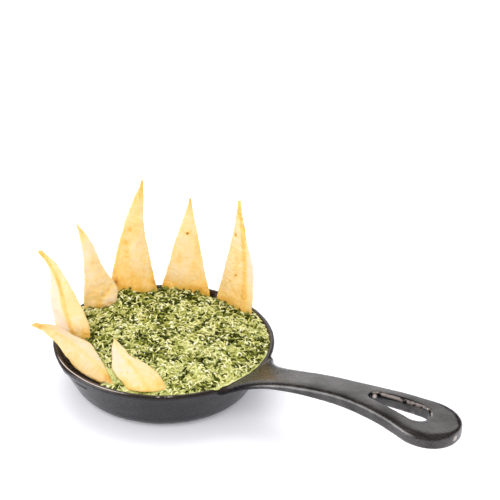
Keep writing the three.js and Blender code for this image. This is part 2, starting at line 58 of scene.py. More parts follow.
class Slot(Enum):
    """The record's material slots."""

    IRON = "iron"
    DIP = "dip"
    CHIP = "chip"


# ---------------------------------------------------------------- numbers on surfaces
def ease(value: np.ndarray | float) -> np.ndarray:
    """Eases from 0 to 1: the value held to 0..1, squared, times three less twice itself."""
    held = np.clip(value, 0.0, 1.0)
    return held * held * (3.0 - 2.0 * held)


def bell(distance: np.ndarray | float, spread: float) -> np.ndarray:
    """A round hump: e to the minus square of distance over spread."""
    return np.exp(-((distance / spread) ** 2))


def polar(bearing: np.ndarray | float, radius: np.ndarray | float) -> tuple:
    """x and y of a place given by its bearing from the handle, in degrees, and its radius."""
    angle = np.radians(bearing)
    return radius * np.cos(angle), radius * np.sin(angle)


def along(stations: tuple[float, ...], share: np.ndarray) -> np.ndarray:
    """Reads a smooth curve through evenly spaced stations.

    Each span is the cubic whose slopes at its ends are half the step between the neighbours.

    Args:
        stations: The curve's values at even steps.
        share: Where to read it, from 0 at the first station to 1 at the last.

    Returns:
        The values there.
    """
    knots = np.asarray(stations, dtype=float)
    last = len(knots) - 1
    place = np.clip(share, 0.0, 1.0) * last
    i = np.minimum(place.astype(int), last - 1)
    t = place - i
    start, end = knots[i], knots[i + 1]
    leave = (end - knots[np.maximum(i - 1, 0)]) / 2
    arrive = (knots[np.minimum(i + 2, last)] - start) / 2
    bend = 3 * (end - start) - 2 * leave - arrive
    return start + leave * t + bend * t**2 + (leave + arrive - 2 * (end - start)) * t**3


def noise(points: np.ndarray, size: float, seed: int) -> np.ndarray:
    """Smooth chance in space, from -1 to 1.

    A cubic lattice of random values, repeated every 32 cells, is read between its points with
    an eased share of each of the eight corners.

    Args:
        points: Places, with x, y and z last.
        size: Spacing of the lattice.
        seed: Which random values.

    Returns:
        One value for each place.
    """
    cells = 32
    lattice = np.random.default_rng(seed).uniform(-1.0, 1.0, (cells, cells, cells))
    place = points / size
    corner = np.floor(place).astype(int)
    share = ease(place - corner)
    total = np.zeros(points.shape[:-1])
    for step in np.ndindex(2, 2, 2):
        weight = np.prod(np.where(step, share, 1.0 - share), axis=-1)
        index = (corner + step) % cells
        total += weight * lattice[index[..., 0], index[..., 1], index[..., 2]]
    return total


def noise_flat(x: np.ndarray, y: np.ndarray, size: float, seed: int) -> np.ndarray:
    """The smooth chance of noise() on a level plane."""
    return noise(np.stack([x, y, np.zeros_like(x)], axis=-1), size, seed)


# ---------------------------------------------------------------- meshes
def grid_quads(rows: int, columns: int, closed: bool = False) -> np.ndarray:
    """Four corners for each cell of a grid of points stored row by row.

    Args:
        rows: Number of rows of points.
        columns: Number of points in a row.
        closed: Whether the last point of a row also joins the first.

    Returns:
        An array of shape (cells, 4).
    """
    index = np.arange(rows * columns).reshape(rows, columns)
    if closed:
        index = np.concatenate([index, index[:, :1]], axis=1)
    cells = [index[:-1, :-1], index[:-1, 1:], index[1:, 1:], index[1:, :-1]]
    return np.stack(cells, axis=-1).reshape(-1, 4)


def new_piece(
    name: str, points: np.ndarray, quads: np.ndarray, values: dict[str, np.ndarray] | None = None
) -> bpy.types.Object:
    """Makes a smooth mesh object at the origin from arrays.

    Args:
        name: The object's name.
        points: Corners in millimetres, shape (n, 3).
        quads: Corner numbers, shape (m, 4).
        values: Named numbers for each corner, which materials read as attributes.

    Returns:
        The object, linked to the scene.
    """
    mesh = bpy.data.meshes.new(name)
    mesh.vertices.add(len(points))
    mesh.vertices.foreach_set("co", np.asarray(points * MM, dtype=np.float32).ravel())
    mesh.loops.add(quads.size)
    mesh.loops.foreach_set("vertex_index", quads.astype(np.int32).ravel())
    mesh.polygons.add(len(quads))
    mesh.polygons.foreach_set("loop_start", np.arange(0, quads.size, 4, dtype=np.int32))
    mesh.update(calc_edges=True)
    for key, numbers in (values or {}).items():
        attribute = mesh.attributes.new(key, "FLOAT", "POINT")
        attribute.data.foreach_set("value", np.asarray(numbers, dtype=np.float32).ravel())
    mesh.shade_smooth()
    piece = bpy.data.objects.new(name, mesh)
    bpy.context.scene.collection.objects.link(piece)
    return piece


def weld(piece: bpy.types.Object) -> bpy.types.Object:
    """Merges corners that coincide, so poles and seams close, and turns all faces outwards."""
    mesh = bmesh.new()
    mesh.from_mesh(piece.data)
    bmesh.ops.remove_doubles(mesh, verts=mesh.verts, dist=1e-6)
    bmesh.ops.recalc_face_normals(mesh, faces=mesh.faces)
    mesh.to_mesh(piece.data)
    mesh.free()
    return piece


def settle(piece: bpy.types.Object) -> None:
    """Gives a piece the mesh that its modifiers make, and drops them."""
    graph = bpy.context.evaluated_depsgraph_get()
    mesh = bpy.data.meshes.new_from_object(piece.evaluated_get(graph))
    mesh.name = piece.name
    piece.modifiers.clear()
    piece.data = mesh


def combine(piece: bpy.types.Object, other: bpy.types.Object, operation: str) -> None:
    """Joins or cuts a closed piece with another, which is used up.

    Args:
        piece: The piece that is changed.
        other: The tool.
        operation: UNION or DIFFERENCE.
    """
    cut = piece.modifiers.new("combine", "BOOLEAN")
    cut.operation = operation
    cut.solver = "MANIFOLD"
    cut.object = other
    settle(piece)
    bpy.data.objects.remove(other)


def corners_of(piece: bpy.types.Object) -> np.ndarray:
    """All corners of a piece's mesh, in millimetres."""
    flat = np.empty(len(piece.data.vertices) * 3, dtype=np.float32)
    piece.data.vertices.foreach_get("co", flat)
    return flat.reshape(-1, 3).astype(float) / MM


def finish_piece(piece: bpy.types.Object, slot: Slot, material: bpy.types.Material, *nodes: str) -> None:
    """Dresses a piece, fixes it to the part's body and hides the CAD nodes that it stands for.

    Args:
        piece: The piece.
        slot: Not used.
        material: Its material.
        nodes: The CAD nodes that it replaces.
    """
    piece.data.materials.clear()
    piece.data.materials.append(material)
    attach(piece, BODY)
    if nodes:
        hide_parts(*nodes)
    LOG.info("%s: %d faces", piece.name, len(piece.data.polygons))


# ---------------------------------------------------------------- materials
def srgb(red: float, green: float, blue: float) -> tuple[float, float, float, float]:
    """A colour from its screen values 0 to 255, as the linear light that shaders use."""
    screen = np.array([red, green, blue]) / 255.0
    linear = np.where(screen <= 0.04045, screen / 12.92, ((screen + 0.055) / 1.055) ** 2.4)
    return (*linear.tolist(), 1.0)


Stops = tuple[tuple[float, tuple[float, float, float, float]], ...]


class Wiring:
    """Adds nodes to a material or a node group and joins them, one short call each."""

    def __init__(self, tree: bpy.types.NodeTree) -> None:
        """Starts on a tree."""
        self.tree = tree

    def add(self, kind: str, **settings: object) -> bpy.types.Node:
        """Adds a node of a kind and sets its properties."""
        node = self.tree.nodes.new(kind)
        for key, value in settings.items():
            setattr(node, key, value)
        return node

    def feed(self, socket: bpy.types.NodeSocket, value: object) -> None:
        """Links another socket into a socket, or sets a plain value on it."""
        if isinstance(value, bpy.types.NodeSocket):
            self.tree.links.new(value, socket)
        else:
            socket.default_value = value

    def math(self, operation: str, *values: object) -> bpy.types.NodeSocket:
        """The result of a sum on numbers, each a value or a socket."""
        node = self.add("ShaderNodeMath", operation=operation)
        for socket, value in zip(node.inputs, values):
            self.feed(socket, value)
        return node.outputs[0]

    def all_of(self, *values: object) -> bpy.types.NodeSocket:
        """The product of masks, where all of them hold."""
        product = values[0]
        for value in values[1:]:
            product = self.math("MULTIPLY", product, value)
        return product

    def near(self, place: object, patch: "Patch") -> bpy.types.NodeSocket:
        """Mask that is one at a patch's middle and eases to nothing at its reach."""
        away = self.add("ShaderNodeVectorMath", operation="DISTANCE")
        self.feed(away.inputs[0], place)
        away.inputs[1].default_value = (patch.x * MM, patch.y * MM, patch.z * MM)
        return self.window(away.outputs["Value"], patch.reach * MM, patch.reach * MM * 0.4)

    def window(self, value: object, low: float, high: float) -> bpy.types.NodeSocket:
        """Eases from 0 at low to 1 at high; low may be above high, for a fall."""
        node = self.add("ShaderNodeMapRange", interpolation_type="SMOOTHSTEP")
        rising = low < high
        for key, number in (("From Min", min(low, high)), ("From Max", max(low, high))):
            node.inputs[key].default_value = number
        node.inputs["To Min"].default_value = 0.0 if rising else 1.0
        node.inputs["To Max"].default_value = 1.0 if rising else 0.0
        self.feed(node.inputs["Value"], value)
        return node.outputs["Result"]

    def mix(self, amount: object, low: object, high: object) -> bpy.types.NodeSocket:
        """A colour between two colours."""
        node = self.add("ShaderNodeMix", data_type="RGBA")
        self.feed(node.inputs["Factor"], amount)
        self.feed(node.inputs[6], low)
        self.feed(node.inputs[7], high)
        return node.outputs[2]

    def ramp(self, value: object, stops: Stops) -> bpy.types.NodeSocket:
        """A colour read off a ramp of (place, colour) stops."""
        node = self.add("ShaderNodeValToRGB")
        elements = node.color_ramp.elements
        while len(elements) < len(stops):
            elements.new(0.5)
        for element, (place, colour) in zip(elements, stops):
            element.position = place
            element.color = colour
        self.feed(node.inputs["Fac"], value)
        return node.outputs["Color"]

    def place(self) -> bpy.types.NodeSocket:
        """The place on the piece, in metres."""
        return self.add("ShaderNodeTexCoord").outputs["Object"]

    def attribute(self, name: str) -> bpy.types.NodeSocket:
        """A number that the mesh carries at each corner."""
        return self.add("ShaderNodeAttribute", attribute_name=name).outputs["Fac"]

    def cloud(
        self, place: object, size: float, detail: float = 2.0, distortion: float = 0.0
    ) -> bpy.types.NodeSocket:
        """Smooth chance about 0.5.

        Args:
            place: The vector socket that it is read at.
            size: Size of a lump in millimetres.
            detail: How many finer layers are added.
            distortion: How much the lumps are drawn out into strands.

        Returns:
            The value socket.
        """
        node = self.add("ShaderNodeTexNoise")
        node.inputs["Scale"].default_value = 1.0 / (size * MM)
        node.inputs["Detail"].default_value = detail
        node.inputs["Distortion"].default_value = distortion
        self.feed(node.inputs["Vector"], place)
        return node.outputs["Fac"]

    def group(self, tree: bpy.types.NodeTree, **values: object) -> bpy.types.Node:
        """Places a node group and feeds its inputs, whose names have _ for a space."""
        node = self.add("ShaderNodeGroup", node_tree=tree)
        for key, value in values.items():
            self.feed(node.inputs[key.replace("_", " ")], value)
        return node

    def bump(self, height: object, strength: float, depth: float) -> bpy.types.NodeSocket:
        """A normal from a height; depth is the height's full range in millimetres."""
        node = self.add("ShaderNodeBump")
        node.inputs["Strength"].default_value = strength
        node.inputs["Distance"].default_value = depth * MM
        self.feed(node.inputs["Height"], height)
        return node.outputs["Normal"]


def new_material(name: str) -> tuple[bpy.types.Material, Wiring, bpy.types.Node]:
    """A material with its wiring and its one Principled shader."""
    material = bpy.data.materials.new(name)
    material.use_nodes = True
    wiring = Wiring(material.node_tree)
    return material, wiring, material.node_tree.nodes["Principled BSDF"]


class Groups:
    """The node groups that more than one finish uses, each made once."""

    def __init__(self) -> None:
        """Makes the groups."""
        self.grain = self._grain()
        self.blotch = self._blotch()

    @staticmethod
    def _open(
        name: str, inputs: dict[str, str], outputs: dict[str, str]
    ) -> tuple[Wiring, bpy.types.Node, bpy.types.Node]:
        """An empty group with named sockets, its wiring and its two end nodes."""
        tree = bpy.data.node_groups.new(name, "ShaderNodeTree")
        for side, sockets in (("INPUT", inputs), ("OUTPUT", outputs)):
            for socket, kind in sockets.items():
                tree.interface.new_socket(name=socket, in_out=side, socket_type=kind)
        wiring = Wiring(tree)
        return wiring, wiring.add("NodeGroupInput"), wiring.add("NodeGroupOutput")

    def _grain(self) -> bpy.types.NodeTree:
        """Fine grain: coarse and fine chance added as a height, half and half by Coarse Share."""
        wiring, start, end = self._open(
            "fine_grain",
            {"Place": "NodeSocketVector", "Scale": "NodeSocketFloat", "Coarse Share": "NodeSocketFloat"},
            {"Height": "NodeSocketFloat"},
        )
        heights = []
        for times in (1.0, 3.7):
            node = wiring.add("ShaderNodeTexNoise")
            node.inputs["Detail"].default_value = 2.0
            wiring.feed(node.inputs["Scale"], wiring.math("MULTIPLY", start.outputs["Scale"], times))
            wiring.feed(node.inputs["Vector"], start.outputs["Place"])
            heights.append(node.outputs["Fac"])
        coarse = wiring.math("MULTIPLY", heights[0], start.outputs["Coarse Share"])
        rest = wiring.math("SUBTRACT", 1.0, start.outputs["Coarse Share"])
        wiring.feed(end.inputs["Height"], wiring.math("MULTIPLY_ADD", heights[1], rest, coarse))
        return wiring.tree

    def _blotch(self) -> bpy.types.NodeTree:
        """Soft blotches: chance at a scale, cut between Low and High and eased to a mask."""
        wiring, start, end = self._open(
            "soft_blotches",
            {
                "Place": "NodeSocketVector",
                "Scale": "NodeSocketFloat",
                "Low": "NodeSocketFloat",
                "High": "NodeSocketFloat",
            },
            {"Mask": "NodeSocketFloat"},
        )
        node = wiring.add("ShaderNodeTexNoise")
        node.inputs["Detail"].default_value = 3.0
        wiring.feed(node.inputs["Scale"], start.outputs["Scale"])
        wiring.feed(node.inputs["Vector"], start.outputs["Place"])
        cut = wiring.add("ShaderNodeMapRange", interpolation_type="SMOOTHSTEP")
        wiring.feed(cut.inputs["Value"], node.outputs["Fac"])
        wiring.feed(cut.inputs["From Min"], start.outputs["Low"])
        wiring.feed(cut.inputs["From Max"], start.outputs["High"])
        wiring.feed(end.inputs["Mask"], cut.outputs["Result"])
        return wiring.tree


@dataclass(frozen=True)
class Patch:
    """A round place on the casting, in millimetres."""

    x: float
    y: float
    z: float
    reach: float


@dataclass(frozen=True)
class SeasonedIron:
    """Satin black seasoned iron, brown inside, with painted highlights along the rim's edge and at the hole.

    ground is where the handle's end is ground bare, glint a painted highlight beside the hole, and
    edge_line the half width of the rim's painted highlight line in millimetres.
    """

    black: tuple = srgb(24, 22, 24)
    soft_black: tuple = srgb(37, 35, 38)
    handle_low: tuple = srgb(28, 25, 23)
    handle_high: tuple = srgb(52, 47, 44)
    hole_black: tuple = srgb(10, 9, 9)
    rim_tone: tuple = srgb(48, 40, 33)
    brown: tuple = srgb(50, 34, 20)
    olive: tuple = srgb(50, 48, 34)
    # bare is the colour of bare metal at the ground end, and also of the painted highlights.
    bare: tuple = srgb(208, 192, 182)
    roughness: float = 0.24
    pan_gloss: float = 0.28
    handle_gloss: float = 0.66
    grain_size: float = 1.1
    edge_line: float = 0.25
    ground: Patch = Patch(248.6, -2.6, 58.6, 3.0)
    glint: Patch = Patch(183.4, 3.2, 60.6, 2.4)

    def material(self, groups: Groups, pan: "Skillet") -> bpy.types.Material:
        """Builds the material.

        Args:
            groups: The shared node groups.
            pan: The skillet, for the place of its rim, its inside and its handle.

        Returns:
            The material.
        """
        material, wiring, shader = new_material("seasoned_iron")
        place = wiring.place()
        split = wiring.add("ShaderNodeSeparateXYZ")
        wiring.feed(split.inputs[0], place)
        x, y, z = split.outputs
        radius = wiring.math("SQRT", wiring.math("MULTIPLY_ADD", x, x, wiring.math("MULTIPLY", y, y)))
        blotch = wiring.group(groups.blotch, Place=place, Scale=55.0, Low=0.4, High=0.65)
        streak = self._brushed(wiring, place)
        tone = wiring.math("MULTIPLY", blotch.outputs["Mask"], streak)
        colour = wiring.mix(tone, self.black, self.soft_black)
        held = wiring.group(groups.blotch, Place=place, Scale=38.0, Low=0.3, High=0.62)
        half_streak = wiring.math("MULTIPLY_ADD", streak, 0.5, 0.5)
        held_tone = wiring.math("MULTIPLY", held.outputs["Mask"], half_streak)
        held_colour = wiring.mix(held_tone, self.handle_low, self.handle_high)
        beyond = wiring.window(x, (pan.rim_radius + 3.0) * MM, (pan.rim_radius + 26.0) * MM)
        colour = wiring.mix(beyond, colour, held_colour)
        past_hole = self._past_hole(wiring, pan, x, y)
        # Near-black and glossier on the hole's walls and just round its edge.
        hole = wiring.window(past_hole, 2.6 * MM, 0.9 * MM)
        colour = wiring.mix(hole, colour, self.hole_black)

        lip_reach = pan.rim_radius + pan.pour_reach
        near_rim = wiring.all_of(
            wiring.window(z, (pan.height - 2.2) * MM, (pan.height - 1.0) * MM),
            wiring.window(radius, (lip_reach + 1.5) * MM, (pan.rim_radius + 1.0) * MM),
            0.7,
        )
        colour = wiring.mix(near_rim, colour, self.rim_tone)
        inside = self._inside(wiring, pan, radius, z)
        colour = wiring.mix(inside, colour, self.brown)
        colour = wiring.mix(self._film(wiring, groups, pan, place, x, y), colour, self.olive)
        # Painted highlight: a light line along the rim's outer edge, in the colour of bare metal.
        bare = self._painted_rim_highlight(wiring, groups, pan, place, radius, x, y, z)
        spot = wiring.group(groups.blotch, Place=place, Scale=260.0, Low=0.38, High=0.56)
        ground = wiring.all_of(wiring.near(place, self.ground), spot.outputs["Mask"], 0.6)
        # Painted highlight: a speckled light line on the hole's far edge.
        far_edge = wiring.all_of(
            wiring.window(past_hole, 0.0, 0.5 * MM),
            wiring.window(past_hole, 1.6 * MM, 1.1 * MM),
            wiring.window(y, 1.0 * MM, 3.0 * MM),
            spot.outputs["Mask"],
            0.42,
        )
        # The glint is a painted highlight by the hole's tip; the ground end is bare metal.
        for mask in (ground, far_edge, wiring.near(place, self.glint)):
            bare = wiring.math("MAXIMUM", bare, mask)
        colour = wiring.mix(bare, colour, self.bare)
        wiring.feed(shader.inputs["Base Color"], colour)

        fineness = 1.0 / (self.grain_size * MM)
        grain = wiring.group(groups.grain, Place=place, Scale=fineness, Coarse_Share=0.6)
        height = wiring.math("MULTIPLY_ADD", streak, 0.35, grain.outputs["Height"])
        rough = wiring.math("MULTIPLY_ADD", height, 0.14, self.roughness - 0.07)
        rough = wiring.math("SUBTRACT", rough, wiring.math("MULTIPLY", hole, 0.12))
        wiring.feed(shader.inputs["Roughness"], rough)
        wiring.feed(shader.inputs["Normal"], wiring.bump(height, 0.35, 0.08))
        mottle = wiring.group(groups.blotch, Place=place, Scale=150.0, Low=0.36, High=0.66)
        uneven = wiring.math("MULTIPLY_ADD", mottle.outputs["Mask"], 0.2, held_tone)
        gloss = wiring.math("MULTIPLY_ADD", uneven, 0.42, self.handle_gloss - 0.3)
        gloss = wiring.math("MULTIPLY", wiring.math("SUBTRACT", gloss, self.pan_gloss), beyond)
        wiring.feed(shader.inputs["Specular IOR Level"], wiring.math("ADD", gloss, self.pan_gloss))
        return material

    @staticmethod
    def _brushed(wiring: Wiring, place: object) -> bpy.types.NodeSocket:
        """Fine streaks along the handle: chance drawn out eight times in x."""
        drawn = wiring.add("ShaderNodeVectorMath", operation="MULTIPLY")
        wiring.feed(drawn.inputs[0], place)
        drawn.inputs[1].default_value = (0.12, 1.0, 1.0)
        return wiring.window(wiring.cloud(drawn.outputs[0], 0.9, 2.0), 0.35, 0.65)

    @staticmethod
    def _past_hole(wiring: Wiring, pan: "Skillet", x: object, y: object) -> bpy.types.NodeSocket:
        """How far a point lies outside the handle's hole, which tapers between two circles."""
        span = (pan.hole_head_at - pan.hole_tip_at) * MM
        share = wiring.add("ShaderNodeMapRange")
        wiring.feed(share.inputs["Value"], x)
        share.inputs["From Min"].default_value = pan.hole_tip_at * MM
        share.inputs["From Max"].default_value = pan.hole_head_at * MM
        share = share.outputs["Result"]
        centre = wiring.math("MULTIPLY_ADD", share, span, pan.hole_tip_at * MM)
        out = wiring.math("SUBTRACT", x, centre)
        away = wiring.math("SQRT", wiring.math("MULTIPLY_ADD", out, out, wiring.math("MULTIPLY", y, y)))
        grow = (pan.hole_head_radius - pan.hole_tip_radius) * MM
        radius = wiring.math("MULTIPLY_ADD", share, grow, pan.hole_tip_radius * MM)
        return wiring.math("SUBTRACT", away, radius)

    @staticmethod
    def _inside(wiring: Wiring, pan: "Skillet", radius: object, z: object) -> bpy.types.NodeSocket:
        """Mask of the pan's inside: radius less the lean of the wall lies within the inner face."""
        inner = pan.wall_foot_radius - pan.wall / math.cos(math.atan(pan.wall_slope))
        upright = wiring.math("SUBTRACT", radius, wiring.math("MULTIPLY", z, pan.wall_slope))
        return wiring.all_of(
            wiring.window(upright, (inner + 1.4) * MM, (inner + 0.3) * MM),
            wiring.window(z, pan.floor * MM * 0.8, pan.floor * MM * 1.2),
        )

    @staticmethod
    def _film(
        wiring: Wiring, groups: Groups, pan: "Skillet", place: object, x: object, y: object
    ) -> bpy.types.NodeSocket:
        """Mask of the mottled olive film where the handle meets the rim."""
        film = wiring.group(groups.blotch, Place=place, Scale=60.0, Low=0.25, High=0.7)
        return wiring.all_of(
            wiring.window(x, (pan.rim_radius - 6.0) * MM, (pan.rim_radius + 2.0) * MM),
            wiring.window(x, (pan.rim_radius + 23.0) * MM, (pan.rim_radius + 8.0) * MM),
            wiring.window(wiring.math("ABSOLUTE", y), 21 * MM, 8 * MM),
            film.outputs["Mask"],
            0.85,
        )

    def _painted_rim_highlight(
        self,
        wiring: Wiring,
        groups: Groups,
        pan: "Skillet",
        place: object,
        radius: object,
        x: object,
        y: object,
        z: object,
    ) -> bpy.types.NodeSocket:
        """Mask of the painted highlight line on the rim: near the rim's outer edge, within its bearings."""
        edge_radius = (pan.rim_radius - 1.15 * pan.lip_round) * MM
        edge_height = (pan.height - 0.05 * pan.lip_round) * MM
        out = wiring.math("SUBTRACT", radius, edge_radius)
        up = wiring.math("SUBTRACT", z, edge_height)
        away = wiring.math("SQRT", wiring.math("MULTIPLY_ADD", out, out, wiring.math("MULTIPLY", up, up)))
        line = wiring.window(away, self.edge_line * MM * 2.0, self.edge_line * MM * 0.8)
        bearing = wiring.math("ARCTAN2", y, x)
        begin, full, fade, end = (math.radians(angle) for angle in pan.rim_highlight_bearings)
        stretch = wiring.all_of(wiring.window(bearing, begin, full), wiring.window(bearing, end, fade))
        patches = wiring.group(groups.blotch, Place=place, Scale=150.0, Low=0.54, High=0.62)
        begin, full, fade, end = (math.radians(angle) for angle in pan.patchy_bearings)
        patchy = wiring.all_of(
            wiring.window(bearing, begin, full), wiring.window(bearing, end, fade), patches.outputs["Mask"]
        )
        return wiring.math("MULTIPLY", line, wiring.math("MAXIMUM", stretch, patchy))


@dataclass(frozen=True)
class FriedDough:
    """Thin fried pastry: cream where pale, golden to brown where toasted.

    oil is the band at the foot, and leaf and sauce are the smears of dip on it. The dark umber
    is painted shade that dims a whole wedge.
    """

    cream: tuple = srgb(246, 220, 190)
    straw: tuple = srgb(250, 217, 154)
    golden: tuple = srgb(249, 201, 106)
    amber: tuple = srgb(234, 172, 68)
    brown: tuple = srgb(150, 90, 32)
    oil: tuple = srgb(226, 176, 54)
    painted_shade_umber: tuple = srgb(60, 30, 12)
    leaf: tuple = srgb(58, 62, 16)
    sauce: tuple = srgb(176, 172, 76)
    roughness: float = 0.46

    def material(self, groups: Groups) -> bpy.types.Material:
        """Builds the material; the mesh carries toast, stain, smear and tint from 0 to 1."""
        material, wiring, shader = new_material("fried_dough")
        place = wiring.place()
        fleck = wiring.cloud(place, 2.6, 3.0)
        wrinkle = wiring.cloud(place, 6.5, 4.0, 1.6)
        flecked = wiring.math("SUBTRACT", fleck, 0.5)
        toast = wiring.math("MULTIPLY_ADD", flecked, 0.2, wiring.attribute("toast"))
        toast = wiring.math("MULTIPLY_ADD", wiring.math("SUBTRACT", 0.5, wrinkle), 0.6, toast)
        colour = wiring.ramp(
            toast,
            (
                (0.05, self.cream),
                (0.3, self.straw),
                (0.58, self.golden),
                (0.8, self.amber),
                (1.0, self.brown),
            ),
        )
        blotch = wiring.group(groups.blotch, Place=place, Scale=240.0, Low=0.3, High=0.6)
        stain = wiring.math("MULTIPLY", wiring.attribute("stain"), blotch.outputs["Mask"])
        colour = wiring.mix(stain, colour, self.oil)
        dab = wiring.group(groups.blotch, Place=place, Scale=420.0, Low=0.42, High=0.56)
        dip = wiring.mix(dab.outputs["Mask"], self.leaf, self.sauce)
        colour = wiring.mix(wiring.attribute("smear"), colour, dip)
        # Painted shade: where the mesh's value is below 1, the whole wedge is dimmed towards dark umber.
        colour = wiring.mix(wiring.attribute("tint"), self.painted_shade_umber, colour)
        wiring.feed(shader.inputs["Base Color"], colour)
        grain = wiring.group(groups.grain, Place=place, Scale=1.0 / (1.6 * MM), Coarse_Share=0.7)
        height = grain.outputs["Height"]
        wiring.feed(
            shader.inputs["Roughness"], wiring.math("MULTIPLY_ADD", height, 0.3, self.roughness - 0.15)
        )
        folds = wiring.math("MULTIPLY_ADD", height, 0.2, wrinkle)
        wiring.feed(shader.inputs["Normal"], wiring.bump(folds, 0.6, 1.6))
        shader.inputs["Subsurface Weight"].default_value = 0.2
        shader.inputs["Subsurface Radius"].default_value = (1.0, 0.6, 0.25)
        shader.inputs["Subsurface Scale"].default_value = 2.5 * MM
        return material


@dataclass(frozen=True)
class CreamySauce:
    """The dip's body: pale yellow-green cream, darker where fine chopped leaf lies in it.

    film is the dark brown in the gap at the wall: oil, and painted shade under the wedge that
    leans over the rim.
    """

    cream: tuple = srgb(226, 226, 156)
    green: tuple = srgb(176, 180, 88)
    leaf: tuple = srgb(88, 94, 24)
    deep: tuple = srgb(36, 42, 6)
    film: tuple = srgb(44, 28, 12)

    def material(self, groups: Groups) -> bpy.types.Material:
        """Builds the material; the mesh carries film, and shade from 0, leaf, to 1, cream."""
        material, wiring, shader = new_material("creamy_sauce")
        place = wiring.place()
        strands = wiring.cloud(place, 1.7, 3.0, 2.2)
        strands = wiring.math("SUBTRACT", strands, 0.5)
        value = wiring.math("MULTIPLY_ADD", strands, 1.5, wiring.attribute("shade"))
        colour = wiring.ramp(
            value, ((0.12, self.deep), (0.34, self.leaf), (0.56, self.green), (0.8, self.cream))
        )
        # Oil and painted shade: the gap at the wall under the leaning wedge is painted dark brown.
        colour = wiring.mix(wiring.attribute("film"), colour, self.film)
        wiring.feed(shader.inputs["Base Color"], colour)
        grain = wiring.group(groups.grain, Place=place, Scale=1.0 / (1.3 * MM), Coarse_Share=0.6)
        wiring.feed(shader.inputs["Normal"], wiring.bump(grain.outputs["Height"], 0.6, 0.5))
        wiring.feed(
            shader.inputs["Roughness"], wiring.math("MULTIPLY_ADD", grain.outputs["Height"], 0.3, 0.22)
        )
        return material


@dataclass(frozen=True)
class ChoppedLeaf:
    """Chopped spinach or cream in bits: each bit has its own tone between two colours."""

    name: str
    low: tuple
    high: tuple
    gloss: float = 0.35
    roughness: float = 0.42

    def material(self, groups: Groups) -> bpy.types.Material:
        """Builds the material; the mesh carries tone from 0 to 1."""
        material, wiring, shader = new_material(self.name)
        place = wiring.place()
        grain = wiring.group(groups.grain, Place=place, Scale=1.0 / (0.9 * MM), Coarse_Share=0.5)
        height = grain.outputs["Height"]
        speckle = wiring.math("SUBTRACT", height, 0.5)
        tone = wiring.math("MULTIPLY_ADD", speckle, 0.8, wiring.attribute("tone"))
        wiring.feed(shader.inputs["Base Color"], wiring.ramp(tone, ((0.0, self.low), (1.0, self.high))))
        wiring.feed(
            shader.inputs["Roughness"], wiring.math("MULTIPLY_ADD", height, 0.2, self.roughness - 0.1)
        )
        wiring.feed(shader.inputs["Normal"], wiring.bump(height, 0.4, 0.2))
        shader.inputs["Specular IOR Level"].default_value = self.gloss
        return material


